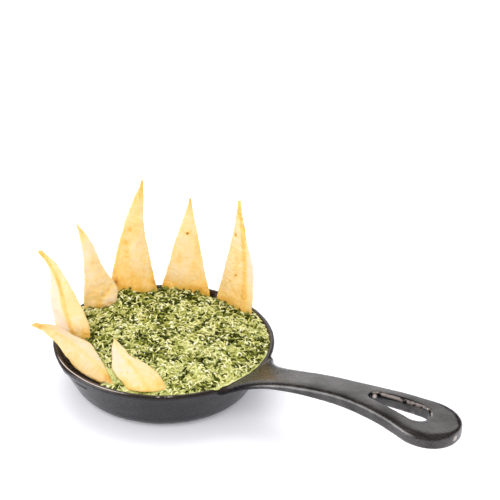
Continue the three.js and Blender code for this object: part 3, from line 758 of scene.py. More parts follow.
# ---------------------------------------------------------------- skillet
@dataclass(frozen=True)
class Skillet:
    """The cast skillet: a flared pan with two pour lips and a rising handle with a teardrop hole."""

    rim_radius: float = 84.0
    height: float = 38.0
    wall: float = 4.0
    floor: float = 4.5
    wall_foot_radius: float = 64.5
    bottom_corner: float = 16.0
    lip_round: float = 1.9
    pour_bearing: float = 106.0
    pour_half_angle: float = 17.0
    pour_reach: float = 1.2
    pour_depth: float = 20.0
    handle_end: float = 249.3
    handle_root: float = 70.0
    neck_half: float = 12.45
    head_half: float = 35.3
    head_from: float = 155.8
    head_full: float = 304.0
    end_round_from: float = 221.0
    end_power: float = 1.62
    root_flare: float = 12.8
    root_flare_length: float = 11.7
    root_half_most: float = 32.0
    root_drop: float = 0.6
    rise: float = 27.4
    rise_from: float = 80.0
    rise_to: float = 210.0
    nod: float = 1.2
    nod_from: float = 197.0
    nod_length: float = 40.0
    thin: float = 6.2
    thick: float = 10.2
    thicken_from: float = 90.0
    thicken_length: float = 96.0
    top_round: float = 3.8
    top_round_wide: float = 6.8
    under_round: float = 1.8
    root_under_slope: float = 0.9
    hole_tip_at: float = 186.5
    hole_tip_radius: float = 3.7
    hole_head_at: float = 218.5
    hole_head_radius: float = 8.6
    hole_flare: float = 1.05
    hole_flare_depth: float = 1.6
    voxel: float = 0.9
    sides: int = 256
    # Bearings of the painted highlight line on the rim's edge, and of its patchy stretch.
    rim_highlight_bearings: tuple[float, float, float, float] = (-124.0, -112.0, -80.0, -64.0)
    patchy_bearings: tuple[float, float, float, float] = (-74.0, -70.0, -48.0, -44.0)

    @property
    def wall_slope(self) -> float:
        """How far the wall leans out for each millimetre of height."""
        return (self.rim_radius - self.wall_foot_radius) / self.height

    def outline(self, inset: float, floor: float, top: float) -> np.ndarray:
        """Radius and height of the pan's outside, or of its inside where inset.

        A flat floor, an arc of the bottom corner's radius, then the straight leaning wall.

        Args:
            inset: Wall thickness and clearance inside the outer face.
            floor: Height of the flat part.
            top: Height where the straight wall ends.

        Returns:
            An array of shape (points, 2), from the axis to the top.
        """
        lean = math.atan(self.wall_slope)
        wall_inset = inset / math.cos(lean)
        corner = self.bottom_corner - inset
        tangent = corner * math.tan((math.pi / 2 - lean) / 2)
        foot = self.wall_foot_radius - wall_inset + floor * self.wall_slope
        angle = np.linspace(0.0, math.pi / 2 - lean, 12)
        arc_radius = foot - tangent + corner * np.sin(angle)
        arc_height = floor + corner - corner * np.cos(angle)
        flat_radius = np.linspace(0.0, arc_radius[0], 8)[:-1]
        wall_height = np.linspace(arc_height[-1], top, 10)[1:]
        wall_radius = self.wall_foot_radius - wall_inset + wall_height * self.wall_slope
        radius = np.concatenate([flat_radius, arc_radius, wall_radius])
        height = np.concatenate([np.full_like(flat_radius, floor), arc_height, wall_height])
        return np.stack([radius, height], axis=-1)

    def pour_lip(self, bearing: np.ndarray, height: np.ndarray) -> np.ndarray:
        """How far a pour lip pushes the wall out: a cosine hump in bearing, eased down the wall."""
        side = np.abs(np.abs(bearing) - self.pour_bearing) / self.pour_half_angle
        across = np.where(side < 1, 0.5 + 0.5 * np.cos(np.pi * side), 0.0)
        return self.pour_reach * across * ease(1.0 - (self.height - height) / self.pour_depth)

    def turned(self, outline: np.ndarray, bearing: np.ndarray) -> np.ndarray:
        """Carries an outline of (radius, height) round the axis and adds the pour lips.

        Args:
            outline: Points of shape (n, 2).
            bearing: Bearings in degrees, shape (m,).

        Returns:
            Points of shape (n, m, 3).
        """
        radius, height = outline[:, :1], outline[:, 1:]
        reach = radius + np.where(radius > self.bottom_corner, self.pour_lip(bearing, height), 0.0)
        x, y = polar(bearing, reach)
        return np.stack([x, y, np.broadcast_to(height, x.shape)], axis=-1)

    def lathe(self, name: str, outline: np.ndarray) -> bpy.types.Object:
        """A closed solid from an outline that starts and ends on the axis."""
        bearing = np.arange(self.sides) * 360.0 / self.sides
        bearing = np.where(bearing > 180.0, bearing - 360.0, bearing)
        points = self.turned(outline, bearing)
        quads = grid_quads(len(outline), self.sides, closed=True)
        return weld(new_piece(name, points.reshape(-1, 3), quads))

    def pan_outside(self) -> bpy.types.Object:
        """The pan's outside as a full solid: the outline, a quarter round at the lip, a flat top."""
        outline = self.outline(0.0, 0.0, self.height - self.lip_round)
        angle = np.linspace(0.0, math.pi / 2, 6)[1:]
        edge = outline[-1, 0]
        lip = np.stack(
            [
                edge - self.lip_round * (1 - np.cos(angle)),
                self.height - self.lip_round * (1 - np.sin(angle)),
            ],
            axis=-1,
        )
        axis = np.array([[0.0, self.height]])
        return self.lathe("pan_outside", np.concatenate([outline, lip, axis]))

    def pan_inside(self, clearance: float, top: float) -> np.ndarray:
        """Outline of the space inside the pan, with the lip's inner quarter round, up to a height."""
        outline = self.outline(self.wall + clearance, self.floor + clearance, self.height - self.lip_round)
        angle = np.linspace(0.0, math.pi / 2, 6)[1:]
        edge = outline[-1, 0]
        lip = np.stack(
            [
                edge + self.lip_round * (1 - np.cos(angle)),
                self.height - self.lip_round * (1 - np.sin(angle)),
            ],
            axis=-1,
        )
        rest = np.array([[lip[-1, 0] + (top - self.height) * self.wall_slope, top], [0.0, top]])
        return np.concatenate([outline, lip, rest])

    def handle_top(self, distance: np.ndarray) -> np.ndarray:
        """Height of the handle's top: a parabola that levels out, then a small eased nod."""
        share = np.clip((distance - self.rise_from) / (self.rise_to - self.rise_from), 0.0, 1.0)
        nod = self.nod * ease((distance - self.nod_from) / self.nod_length)
        return self.height - self.root_drop + self.rise * (1.0 - (1.0 - share) ** 2) - nod

    def handle_half(self, distance: np.ndarray) -> np.ndarray:
        """Half the handle's width: neck, flare at the root, eased head, superellipse end."""
        head = ease((distance - self.head_from) / (self.head_full - self.head_from))
        flare = self.root_flare * np.exp((self.rim_radius - distance) / self.root_flare_length)
        plain = self.neck_half + flare + (self.head_half - self.neck_half) * head
        past = (distance - self.end_round_from) / (self.handle_end - self.end_round_from)
        round_end = np.sqrt(1.0 - np.clip(past, 0.0, 1.0) ** self.end_power)
        return np.minimum(plain, self.root_half_most) * round_end

    def handle_thickness(self, distance: np.ndarray) -> np.ndarray:
        """The handle's thickness, eased from thin to thick."""
        share = ease((distance - self.thicken_from) / self.thicken_length)
        return self.thin + (self.thick - self.thin) * share

    def handle(self) -> bpy.types.Object:
        """The handle as a closed loft: slabs with rounded corners, carried along its length.

        Each slab is four quarter ellipses: flat ones above, and below as wide as the root's flare.
        """
        straight = np.linspace(self.handle_root, self.end_round_from, 90)[:-1]
        turn = np.sin(np.linspace(0.0, math.pi / 2, 26)) * 0.9995
        ending = self.end_round_from + (self.handle_end - self.end_round_from) * turn
        distance = np.concatenate([straight, ending])[:, None]
        half, top = self.handle_half(distance), self.handle_top(distance)
        thickness = self.handle_thickness(distance)
        bottom = top - thickness
        upper = np.minimum(self.top_round, half * 0.6)
        crown = np.minimum(self.top_round_wide, half * 0.6)
        web = np.where(distance < self.head_from, np.maximum(half - self.neck_half, 0.0), 0.0)
        lower = self.under_round + web * self.root_under_slope
        wide = np.minimum(lower, half * 0.6)
        high = np.minimum(lower, thickness / 2)
        steps = 8
        angle = np.radians(np.linspace(0.0, 90.0, steps))[None, :]
        corners = [
            (half - crown, top - upper, crown, upper, 0.0),
            (crown - half, top - upper, crown, upper, 90.0),
            (wide - half, bottom + high, wide, high, 180.0),
            (half - wide, bottom + high, wide, high, 270.0),
        ]
        y = [cy + w * np.cos(angle + math.radians(start)) for cy, _, w, _, start in corners]
        z = [cz + h * np.sin(angle + math.radians(start)) for _, cz, _, h, start in corners]
        y, z = np.concatenate(y, axis=1), np.concatenate(z, axis=1)
        rings = np.stack([np.broadcast_to(distance, y.shape), y, z], axis=-1)
        rings = self.capped(rings)
        quads = grid_quads(rings.shape[0], rings.shape[1], closed=True)
        return weld(new_piece("handle", rings.reshape(-1, 3), quads))

    @staticmethod
    def capped(rings: np.ndarray) -> np.ndarray:
        """Adds a ring shrunk to its middle before the first ring and after the last."""
        first = np.broadcast_to(rings[0].mean(axis=0), rings[0].shape)
        last = np.broadcast_to(rings[-1].mean(axis=0), rings[-1].shape)
        return np.concatenate([first[None], rings, last[None]])

    def hole_cutter(self) -> bpy.types.Object:
        """The hole's cutter: teardrops that follow the handle's rise and flare at both faces.

        A teardrop is the hull of a small and a large circle, grown by a flare.
        """
        flare = self.hole_flare * np.array([2.0, 1.0, 0.0, 0.0, 1.0, 2.0])[:, None]
        offset = self.hole_flare_depth * np.array([-1.0, 0.0, 1.0, -1.0, 0.0, 1.0])[:, None]
        upper = np.array([0, 0, 0, 1, 1, 1])[:, None]
        tip, head = self.hole_tip_radius + flare, self.hole_head_radius + flare
        tangent = np.arccos((tip - head) / (self.hole_head_at - self.hole_tip_at))
        share = np.linspace(0.0, 1.0, 28)[None, :]
        around_head = tangent * (2.0 * share - 1.0)
        around_tip = tangent + 2.0 * (math.pi - tangent) * share
        x = np.concatenate(
            [
                self.hole_head_at + head * np.cos(around_head),
                self.hole_tip_at + tip * np.cos(around_tip),
            ],
            axis=1,
        )
        y = np.concatenate([head * np.sin(around_head), tip * np.sin(around_tip)], axis=1)
        bottom = self.handle_top(x) - self.handle_thickness(x)
        z = np.where(upper, self.handle_top(x), bottom) + offset
        rings = self.capped(np.stack([x, y, z], axis=-1))
        quads = grid_quads(rings.shape[0], rings.shape[1], closed=True)
        return weld(new_piece("hole_cutter", rings.reshape(-1, 3), quads))

    def build(self, material: bpy.types.Material) -> bpy.types.Object:
        """Casts pan and handle in one, with soft corners and a slightly uneven skin.

        Args:
            material: The iron.

        Returns:
            The skillet.
        """
        casting = self.handle()
        combine(casting, self.hole_cutter(), "DIFFERENCE")
        combine(casting, self.pan_outside(), "UNION")
        inside = self.lathe("pan_inside", self.pan_inside(0.0, self.height + self.rise))
        combine(casting, inside, "DIFFERENCE")
        casting.name = "cast_skillet"
        remesh = casting.modifiers.new("skin", "REMESH")
        remesh.mode = "VOXEL"
        remesh.voxel_size = self.voxel * MM
        soften = casting.modifiers.new("soften", "SMOOTH")
        soften.factor = 0.5
        soften.iterations = 5
        settle(casting)
        self._roughen(casting)
        finish_piece(casting, Slot.IRON, material, "skillet")
        return casting

    def _roughen(self, casting: bpy.types.Object) -> None:
        """Moves each corner along its normal by two sizes of smooth chance, except underneath."""
        points = corners_of(casting)
        normals = np.empty(len(points) * 3, dtype=np.float32)
        casting.data.vertices.foreach_get("normal", normals)
        swell = 0.10 * noise(points, 11.0, 3) + 0.05 * noise(points, 3.5, 4)
        swell *= ease((points[:, 2] - 1.0) / 2.0)
        moved = points + normals.reshape(-1, 3) * swell[:, None]
        casting.data.vertices.foreach_set("co", (moved * MM).astype(np.float32).ravel())
        casting.data.update()
        casting.data.shade_smooth()


# ---------------------------------------------------------------- pastry wedges
@dataclass(frozen=True)
class Mark:
    """A blister, spot or pale streak on a wedge, some of them painted highlight or shade: an oval
    hump in its own plane.

    across and up are its place from the foot point, wide and tall its spread, toast how much
    darker it is, and relief how far it stands out.
    """

    across: float
    up: float
    wide: float
    tall: float
    toast: float
    relief: float = 0.0


@dataclass(frozen=True)
class Wedge:
    """One fried pastry wedge: a thin sheet folded along a crease.

    It stands on a foot point given by bearing, radius and height above the rim. turn, lean and
    slant are degrees about the upright, backwards, and within its own plane. left, right and
    ridge are its edges and its crease, from the foot to the tip at even steps of its length.
    base is how far the lower edge reaches at its left, middle and right, wings the slopes of
    its two wings, curl and wave how far it bends and ripples. Toast, crease, foot_toast and
    tip_toast set how brown it is; pale makes each wing paler, or darker below 0, as painted
    highlight and shade for how it faces the light. stain is the oil and smear the height of the
    sauce at its foot, and its brightness below 1 dims the whole wedge as painted shade.
    """

    name: str
    bearing: float
    radius: float
    height: float
    turn: float
    lean: float
    slant: float
    length: float
    left: tuple[float, ...]
    right: tuple[float, ...]
    ridge: tuple[float, ...]
    base: tuple[float, float, float]
    wings: tuple[float, float]
    curl: float
    wave: float
    seed: int
    toast: float = 0.28
    crease: float = 0.3
    foot_toast: float = 0.2
    tip_toast: float = 0.28
    pale: tuple[float, float] = (0.0, 0.0)
    stain: float = 0.75
    smear: float = 2.6
    tint: float = 1.0
    marks: tuple[Mark, ...] = ()
    thickness: float = 1.7
    edge_round: float = 1.1
    ridge_softness: float = 1.3
    crease_width: float = 1.7
    ragged: tuple[float, float] = (0.38, 0.12)
    stain_height: float = 4.0
    most_toast: float = 0.62
    least_width: float = 1.7
    rows: int = 120
    columns: int = 52

    def axes(self) -> tuple[np.ndarray, np.ndarray, np.ndarray, np.ndarray]:
        """The foot point and the directions across the wedge, up it and out of its face."""
        x, y = polar(self.bearing, self.radius)
        foot = np.array([x, y, SKILLET.height + self.height])
        turn, lean, slant = np.radians([self.turn, self.lean, self.slant])
        level = np.array([np.cos(turn), np.sin(turn), 0.0])
        front = np.array([np.sin(turn), -np.cos(turn), 0.0])
        rise = np.array([0.0, 0.0, np.cos(lean)]) - front * np.sin(lean)
        across = level * np.cos(slant) - rise * np.sin(slant)
        up = rise * np.cos(slant) + level * np.sin(slant)
        return foot, across, up, np.cross(across, up)

    def sheet(self, side: np.ndarray, share: np.ndarray) -> tuple[np.ndarray, np.ndarray, np.ndarray]:
        """Middle sheet in the wedge's own plane.

        Across runs between the two edges; up from the lower edge, a parabola through its left,
        middle and right reach, to the tip. Depth is a curl with the cube of the height, plus a
        ripple, less each wing's slope times its softened distance from the crease.

        Args:
            side: -1 at the left edge to 1 at the right.
            share: 0 at the lower edge to 1 at the tip.

        Returns:
            Millimetres across, up and out, each shaped like side.
        """
        base_left, base_middle, base_right = self.base
        tilt = (base_right - base_left) / 2
        bow = (base_right + base_left) / 2 - base_middle
        base = base_middle + tilt * side + bow * side**2
        up = base + (self.length - base) * share
        place = up / self.length
        left, right = along(self.left, place), along(self.right, place)
        half = np.maximum(right - left, self.least_width) / 2
        coarse, fine = self.ragged
        ragged = coarse * noise_flat(up, side * 3.0, 5.0, self.seed)
        ragged = ragged + fine * noise_flat(up, side * 3.0, 1.9, self.seed)
        across = (left + right) / 2 + half * side + ragged * side**2
        off = across - along(self.ridge, place)
        slope = np.where(off < 0, self.wings[0], self.wings[1])
        fold = np.hypot(off, self.ridge_softness) - self.ridge_softness
        ripple = np.sin(place * 7.0 + side * 2.3) * np.sin(place * 3.1 + 1.0)
        depth = self.curl * place**3 + self.wave * ripple - slope * fold
        return across, up, depth

    def middle_sheet(self, rows: int, columns: int) -> np.ndarray:
        """A coarse grid of points on the wedge's middle sheet, shape (n, 3)."""
        share, side = np.meshgrid(np.linspace(0.0, 1.0, rows), np.linspace(-1.0, 1.0, columns))
        across, up, depth = self.sheet(side.ravel(), share.ravel())
        foot, along_x, along_y, along_z = self.axes()
        return foot + across[:, None] * along_x + up[:, None] * along_y + depth[:, None] * along_z

    def relief(self, across: np.ndarray, up: np.ndarray) -> np.ndarray:
        """Low dents and blisters: two sizes of smooth chance plus the marks."""
        height = 0.5 * noise_flat(across, up, 13.0, self.seed + 1)
        height += 0.3 * noise_flat(across, up, 4.5, self.seed + 2)
        height += 0.12 * noise_flat(across * 0.5, up, 1.8, self.seed + 4)
        for mark in self.marks:
            height += mark.relief * self._reach(mark, across, up)
        return height

    @staticmethod
    def _reach(mark: Mark, across: np.ndarray, up: np.ndarray) -> np.ndarray:
        """How strongly a mark acts at a place: an oval bell."""
        away = np.hypot((across - mark.across) / mark.wide, (up - mark.up) / mark.tall)
        return bell(away, 1.0)

    def browning(
        self, side: np.ndarray, share: np.ndarray, across: np.ndarray, up: np.ndarray
    ) -> np.ndarray:
        """How toasted the pastry is: its own tone, more at the crease, foot, tip and edges."""
        off = across - along(self.ridge, up / self.length)
        tone = self.toast + self.crease * bell(off, self.crease_width) + 0.08 * np.abs(side) ** 6
        tone = tone + self.foot_toast * ease(1.0 - share / 0.34)
        tone = tone + self.tip_toast * ease((share - 0.78) / 0.22)
        # Painted highlight and shade: each wing paler, or darker where its value is below 0, for how it faces the
        # light.
        wing = np.where(off < 0, self.pale[0], self.pale[1]) * ease(np.abs(off) / 5.0)
        tone = tone - wing * ease(share / 0.12) * ease((1.0 - share) / 0.2)
        tone = tone + 0.11 * noise_flat(across, up * 0.6, 8.0, self.seed + 3)
        tone = np.minimum(tone, self.most_toast)
        for mark in self.marks:
            tone = tone + mark.toast * self._reach(mark, across, up)
        return np.clip(tone, 0.0, 1.0)

    def sauced(self, across: np.ndarray, above: np.ndarray) -> tuple[np.ndarray, np.ndarray]:
        """What clings to the foot: an oily band, and sauce up to an uneven height.

        Args:
            across: Millimetres across the wedge.
            above: Millimetres above the dip.

        Returns:
            The stain's and the smear's strength, each from 0 to 1.
        """
        stain = np.clip(bell(np.maximum(above - 1.0, 0.0), self.stain_height), 0.0, 1.0) * self.stain
        uneven = noise_flat(across, above * 0.0, 2.4, self.seed + 5)
        smear = ease(self.smear * (0.5 + uneven) - above + 0.5) * min(self.smear, 1.0)
        return stain, smear

    def build(self, material: bpy.types.Material, dip: "Dip") -> bpy.types.Object:
        """Makes the wedge: a front and a back sheet that meet in a rounded edge.

        Args:
            material: The fried dough.
            dip: The dip, for the oily band and the sauce where the wedge stands in it.

        Returns:
            The wedge.
        """
        side = np.sin(np.linspace(-math.pi / 2, math.pi / 2, self.columns))[None, :]
        share = 0.5 - 0.5 * np.cos(np.linspace(0.0, math.pi, self.rows))[:, None]
        side, share = np.broadcast_arrays(side, share)
        across, up, depth = self.sheet(side, share)
        width = across[:, -1:] - across[:, :1]
        inward = np.minimum(width / 2 * (1.0 - np.abs(side)), self.length * np.minimum(share, 1.0 - share))
        rounding = 1.0 - np.clip(inward / self.edge_round, 0.0, 1.0)
        half = self.thickness / 2 * np.sqrt(1.0 - rounding**2)
        depth = depth + self.relief(across, up)
        foot, along_x, along_y, along_z = self.axes()
        middle = foot + across[..., None] * along_x + up[..., None] * along_y
        faces = [middle + (depth + sign * half)[..., None] * along_z for sign in (1.0, -1.0)]
        points = np.stack(faces).reshape(-1, 3)
        quads = grid_quads(self.rows, self.columns)
        quads = np.concatenate([quads, quads[:, ::-1] + self.rows * self.columns])
        toast = np.tile(self.browning(side, share, across, up).ravel(), 2)
        above = points[:, 2] - dip.level(points[:, 0], points[:, 1])
        stain, smear = self.sauced(np.tile(across.ravel(), 2), above)
        tint = np.full_like(toast, self.tint)
        values = {"toast": toast, "stain": stain, "smear": smear, "tint": tint}
        piece = new_piece(self.name.replace("chip", "wedge"), points, quads, values)
        weld(piece)
        piece.data.shade_smooth()
        finish_piece(piece, Slot.CHIP, material, self.name)
        return piece


# ---------------------------------------------------------------- dip
@dataclass(frozen=True)
class Swell:
    """A place where the dip stands higher or lower than a plain mound."""

    bearing: float
    radius: float
    spread: float
    height: float


@dataclass(frozen=True)
class Spill:
    """A place where the dip creeps out over the rim."""

    bearing: float
    spread: float
    reach: float


@dataclass(frozen=True)
class Bits:
    """One kind of small bit on the dip: how many, and the ranges of its size.

    turn is how far it bends along its length, in radians, rise how high its middle stands,
    darkness how much it keeps to the dark places, and stations its points along its length.
    """

    name: str
    count: int
    length: tuple[float, float]
    width: tuple[float, float]
    thickness: float
    turn: float
    rise: tuple[float, float]
    darkness: float
    finish: ChoppedLeaf
    seed: int
    stations: int = 7
    oval: bool = False


@dataclass(frozen=True)
class Dip:
    """The dip: a lumpy mound that fills the pan, with shreds, leaf bits and curds on it.

    mound and edge are its heights over the rim, in the middle and at the wall. shaded is the
    gap's four bearings, between which it fades in and out. A wedge that leans more than
    lying_from lies on the dip, and no bit is put where it is lower than bit_room. In
    dark_places, height is how dark a place is, and below 0 how pale.
    """

    mound: float = 4.5
    edge: float = -0.6
    clearance: float = 0.3
    cells: int = 236
    shaded: tuple[float, float, float, float] = (-150.0, -140.0, -88.0, -81.0)
    lying_from: float = 45.0
    bit_room: float = 3.0
    bit_clearance: float = 2.2
    bit_reach: float = 78.6
    bit_wall_gap: float = 0.6
    shade: float = 0.54
    swells: tuple[Swell, ...] = (
        Swell(160, 66, 15, 4.5),
        Swell(101, 76, 9, -4.2),
        Swell(-139, 82, 18, -9),
        Swell(-116, 82, 17, -8),
        Swell(-95, 81, 15, -8),
        Swell(8, 55, 16, 1.6),
        Swell(-62, 60, 19, -2.4),
        Swell(50, 82, 20, -1.8),
    )
    spills: tuple[Spill, ...] = (
        Spill(-22.6, 2.4, 3.2),
        Spill(-13, 8, 1.7),
        Spill(6, 14, 0.9),
        Spill(-48, 6, 0.8),
    )
    # Clusters of dark leaf, and painted shade on the dip at the feet of the standing wedges.
    dark_places: tuple[Swell, ...] = (
        Swell(158.8, 72.7, 9, 1.0),
        Swell(134.9, 74, 6, 1.0),
        Swell(101.8, 74, 7, 1.0),
        Swell(-129.4, 54.2, 7, 0.9),
        Swell(-148.4, 54.0, 8, 0.7),
        Swell(110, 60, 9, 0.6),
        Swell(82, 60, 7, 0.6),
        Swell(121, 64, 9, 0.8),
        Swell(146, 68, 8, 0.8),
        Swell(65.8, 34.1, 5, 0.7),
        Swell(-105.2, 15.4, 4, 0.8),
        Swell(35.6, 55.4, 5, 0.8),
        Swell(23.5, 61.0, 6, 0.6),
        Swell(-3.7, 41.7, 9, -0.5),
        Swell(43.5, 66, 9, -0.5),
        Swell(-24.9, 61.9, 9, -0.3),
    )

    def level(self, x: np.ndarray, y: np.ndarray) -> np.ndarray:
        """Height of the surface without its lumps: a cubic mound plus round swells."""
        radius = np.hypot(x, y) / (SKILLET.rim_radius - SKILLET.wall)
        height = self.mound + (self.edge - self.mound) * np.minimum(radius, 1.2) ** 3
        for swell in self.swells:
            sx, sy = polar(swell.bearing, swell.radius)
            height = height + swell.height * bell(np.hypot(x - sx, y - sy), swell.spread)
        return SKILLET.height + height

    def ground(self, x: np.ndarray, y: np.ndarray) -> np.ndarray:
        """Height of the surface with its lumps: four sizes of smooth chance, calmer at the wall."""
        calm = 1.0 - 0.6 * ease((np.hypot(x, y) - 70.0) / 8.0)
        lumps = 0.9 * noise_flat(x, y, 11.0, 21) + 0.75 * noise_flat(x, y, 5.2, 22)
        lumps = lumps + 0.5 * noise_flat(x, y, 2.6, 23) + 0.28 * noise_flat(x, y, 1.3, 24)
        return self.level(x, y) + calm * lumps

    def darkness(self, x: np.ndarray, y: np.ndarray) -> np.ndarray:
        """Where the dip is darker: dark leaf as smooth chance, plus the listed places, some of them painted shade;
        about -1 to 1.
        """
        dark = 0.52 * noise_flat(x, y, 13.0, 31) + 0.5 * noise_flat(x, y, 5.0, 32)
        for place in self.dark_places:
            px, py = polar(place.bearing, place.radius)
            dark = dark + place.height * bell(np.hypot(x - px, y - py), place.spread)
        return dark

    def gap(self, x: np.ndarray, y: np.ndarray) -> np.ndarray:
        """Share of the gap of oil and painted shade between the wall and the wedge over the rim, 0 to 1."""
        bearing = np.degrees(np.arctan2(y, x))
        begin, full, fade, end = self.shaded
        stretch = ease((bearing - begin) / (full - begin)) * ease((end - bearing) / (end - fade))
        return stretch * ease((np.hypot(x, y) - 66.0) / 5.0)

    def wall_radius(self, bearing: np.ndarray) -> np.ndarray:
        """Radius of the pan's inside at the rim, with its pour lips."""
        inner = SKILLET.rim_radius - SKILLET.wall - self.clearance
        return inner + SKILLET.pour_lip(bearing, np.full_like(bearing, SKILLET.height))

    def core(self, material: bpy.types.Material) -> bpy.types.Object:
        """The body of the dip, closed all round.

        Its top is a square grid pressed into a disc: each axis is shortened by the root of one
        less half the other's square. Its edge reaches the wall, or past it in a spill, and its
        sides follow the pan's inside down to the floor.

        Args:
            material: The sauce.

        Returns:
            The core.
        """
        step = np.linspace(-1.0, 1.0, self.cells)
        a, b = np.meshgrid(step, step)
        disc_x, disc_y = a * np.sqrt(1.0 - b**2 / 2), b * np.sqrt(1.0 - a**2 / 2)
        rim_share = np.minimum(np.hypot(disc_x, disc_y), 1.0)
        bearing = np.degrees(np.arctan2(disc_y, disc_x))
        spill = sum(s.reach * bell(bearing - s.bearing, s.spread) for s in self.spills)
        spill = spill * (1.0 + 0.4 * noise_flat(bearing, bearing * 0.0, 4.0, 41))
        radius = self.wall_radius(bearing) * rim_share + spill * ease((rim_share - 0.93) / 0.07)
        x, y = polar(bearing, radius)
        z = self.ground(x, y)
        over = ease((radius - (SKILLET.rim_radius - SKILLET.wall - 1.2)) / 1.2) * ease(spill / 0.5)
        resting = SKILLET.height + 0.25 + 0.55 * ease((1.0 - rim_share) / 0.035)
        z = z + over * (np.maximum(z, resting) - z)
        top = np.stack([x, y, z], axis=-1).reshape(-1, 3)

        numbers = np.arange(self.cells**2).reshape(self.cells, self.cells)
        border = np.concatenate([numbers[0, :-1], numbers[:-1, -1], numbers[-1, :0:-1], numbers[:0:-1, 0]])
        outline = SKILLET.pan_inside(self.clearance, SKILLET.height)[::-1]
        outline = outline[outline[:, 1] < SKILLET.height - SKILLET.lip_round - 0.5]
        border_bearing = np.degrees(np.arctan2(top[border, 1], top[border, 0]))
        skirt = SKILLET.turned(outline, border_bearing)
        points = np.concatenate([top, top[border], skirt.reshape(-1, 3)])
        skirt_quads = grid_quads(len(outline) + 1, len(border), closed=True) + len(top)
        quads = np.concatenate([grid_quads(self.cells, self.cells), skirt_quads])

        x, y = points[:, 0], points[:, 1]
        shade = self.shade - 0.2 * self.darkness(x, y)
        shade = shade + 0.1 * ease((np.hypot(x, y) - 74.0) / 4.0)
        values = {"shade": shade, "film": self.gap(x, y)}
        piece = weld(new_piece("dip_core", points, quads, values))
        piece.data.shade_smooth()
        finish_piece(piece, Slot.DIP, material, "spinach_dip")
        return piece

    def clear(self, x: np.ndarray, y: np.ndarray) -> np.ndarray:
        """Whether places lie clear of the two lying wedges, which no bit may pierce.

        A place is covered where a point of a wedge's middle sheet is near it and low over the dip.
        """
        free = np.ones(len(x), dtype=bool)
        for wedge in WEDGES:
            if wedge.lean > self.lying_from:
                sheet = wedge.middle_sheet(40, 16)
                low = sheet[:, 2] - self.level(sheet[:, 0], sheet[:, 1]) < self.bit_room
                near = np.hypot(x[:, None] - sheet[low, 0], y[:, None] - sheet[low, 1])
                free &= near.min(axis=1, initial=np.inf) > self.bit_clearance
        return free

    def scatter(self, bits: Bits) -> tuple[np.ndarray, np.ndarray, np.random.Generator]:
        """Chooses places for bits: more where their darkness fits, none in the oily gap.

        Args:
            bits: The kind of bit.

        Returns:
            x and y of each bit, and the random stream to go on with.
        """
        random = np.random.default_rng(bits.seed)
        tries = bits.count * 4
        radius = self.bit_reach * np.sqrt(random.uniform(0.0, 1.0, tries))
        x, y = polar(random.uniform(-180.0, 180.0, tries), radius)
        liking = np.clip(0.42 + 0.9 * bits.darkness * self.darkness(x, y), 0.05, 1.0)
        liking = np.where(self.gap(x, y) > 0.3, 0.0, liking)
        wanted = (random.uniform(0.0, 1.0, tries) < liking) & self.clear(x, y)
        chosen = np.flatnonzero(wanted)[: bits.count]
        return x[chosen], y[chosen], random

    def bits(self, bits: Bits, material: bpy.types.Material) -> bpy.types.Object:
        """Joins all bits of one kind into one mesh.

        Each bit follows a level arc whose heading turns evenly along it, rises off the surface in
        the middle with one less the square of its place, and has a flat diamond section that
        narrows to its ends. An oval bit narrows as an ellipse does.

        Args:
            bits: The kind of bit.
            material: Its material.

        Returns:
            The piece.
        """
        x, y, random = self.scatter(bits)
        count = len(x)
        place = np.linspace(-1.0, 1.0, bits.stations)[None, :]
        length = random.uniform(*bits.length, (count, 1))
        heading = random.uniform(-math.pi, math.pi, (count, 1))
        turn = random.uniform(-bits.turn, bits.turn, (count, 1))
        angle = heading + turn * place / 2
        step = length / (bits.stations - 1)
        px = np.cumsum(np.cos(angle), axis=1) * step
        py = np.cumsum(np.sin(angle), axis=1) * step
        px = x[:, None] + px - px.mean(axis=1, keepdims=True)
        py = y[:, None] + py - py.mean(axis=1, keepdims=True)
        reach = np.hypot(px, py)
        inner = SKILLET.rim_radius - SKILLET.wall - self.bit_wall_gap
        pull = np.minimum(1.0, inner / reach)
        px, py = px * pull, py * pull
        rise = random.uniform(*bits.rise, (count, 1))
        tilt = random.uniform(-0.12, 0.12, (count, 1)) * length
        pz = self.ground(px, py) + rise * (1.0 - place**2) + tilt * place - 0.25 * bits.thickness
        taper = np.sqrt(1.0 - (0.98 * place) ** 2) if bits.oval else 0.12 + 0.88 * (1.0 - place**4)
        width = random.uniform(*bits.width, (count, 1)) / 2 * taper
        thick = bits.thickness / 2 * taper * np.ones_like(width)
        roll = random.uniform(-1.0, 1.0, (count, 1)) + random.uniform(-0.8, 0.8, (count, 1)) * place
        across_x, across_y = -np.sin(angle), np.cos(angle)
        flat, steep = np.cos(roll), np.sin(roll)
        side = np.stack([across_x * flat, across_y * flat, steep], axis=-1)
        up = np.stack([-across_x * steep, -across_y * steep, flat], axis=-1)
        middle = np.stack([px, py, pz], axis=-1)
        corners = [
            middle + side * width[..., None],
            middle + up * thick[..., None],
            middle - side * width[..., None],
            middle - up * thick[..., None],
        ]
        points = np.stack(corners, axis=2)
        one = grid_quads(bits.stations, 4, closed=True)
        ends = np.array([[3, 2, 1, 0], [0, 1, 2, 3]]) + np.array([[0], [4 * (bits.stations - 1)]])
        one = np.concatenate([one[:, ::-1], ends])
        quads = (one[None] + (np.arange(count) * 4 * bits.stations)[:, None, None]).reshape(-1, 4)
        tone = np.repeat(random.uniform(0.0, 1.0, count), 4 * bits.stations)
        piece = new_piece(bits.name, points.reshape(-1, 3), quads, {"tone": tone})
        finish_piece(piece, Slot.DIP, material)
        return piece


# ---------------------------------------------------------------- studio
@dataclass(frozen=True)
class Softbox:
    """A square light: azimuth and elevation of its place, distance, size and radiance.

    mirrored says whether glossy surfaces show it, and lit whether it lights matt ones.
    """

    name: str
    azimuth: float
    elevation: float
    distance: float
    size: float
    radiance: float
    mirrored: bool = True
    lit: bool = True


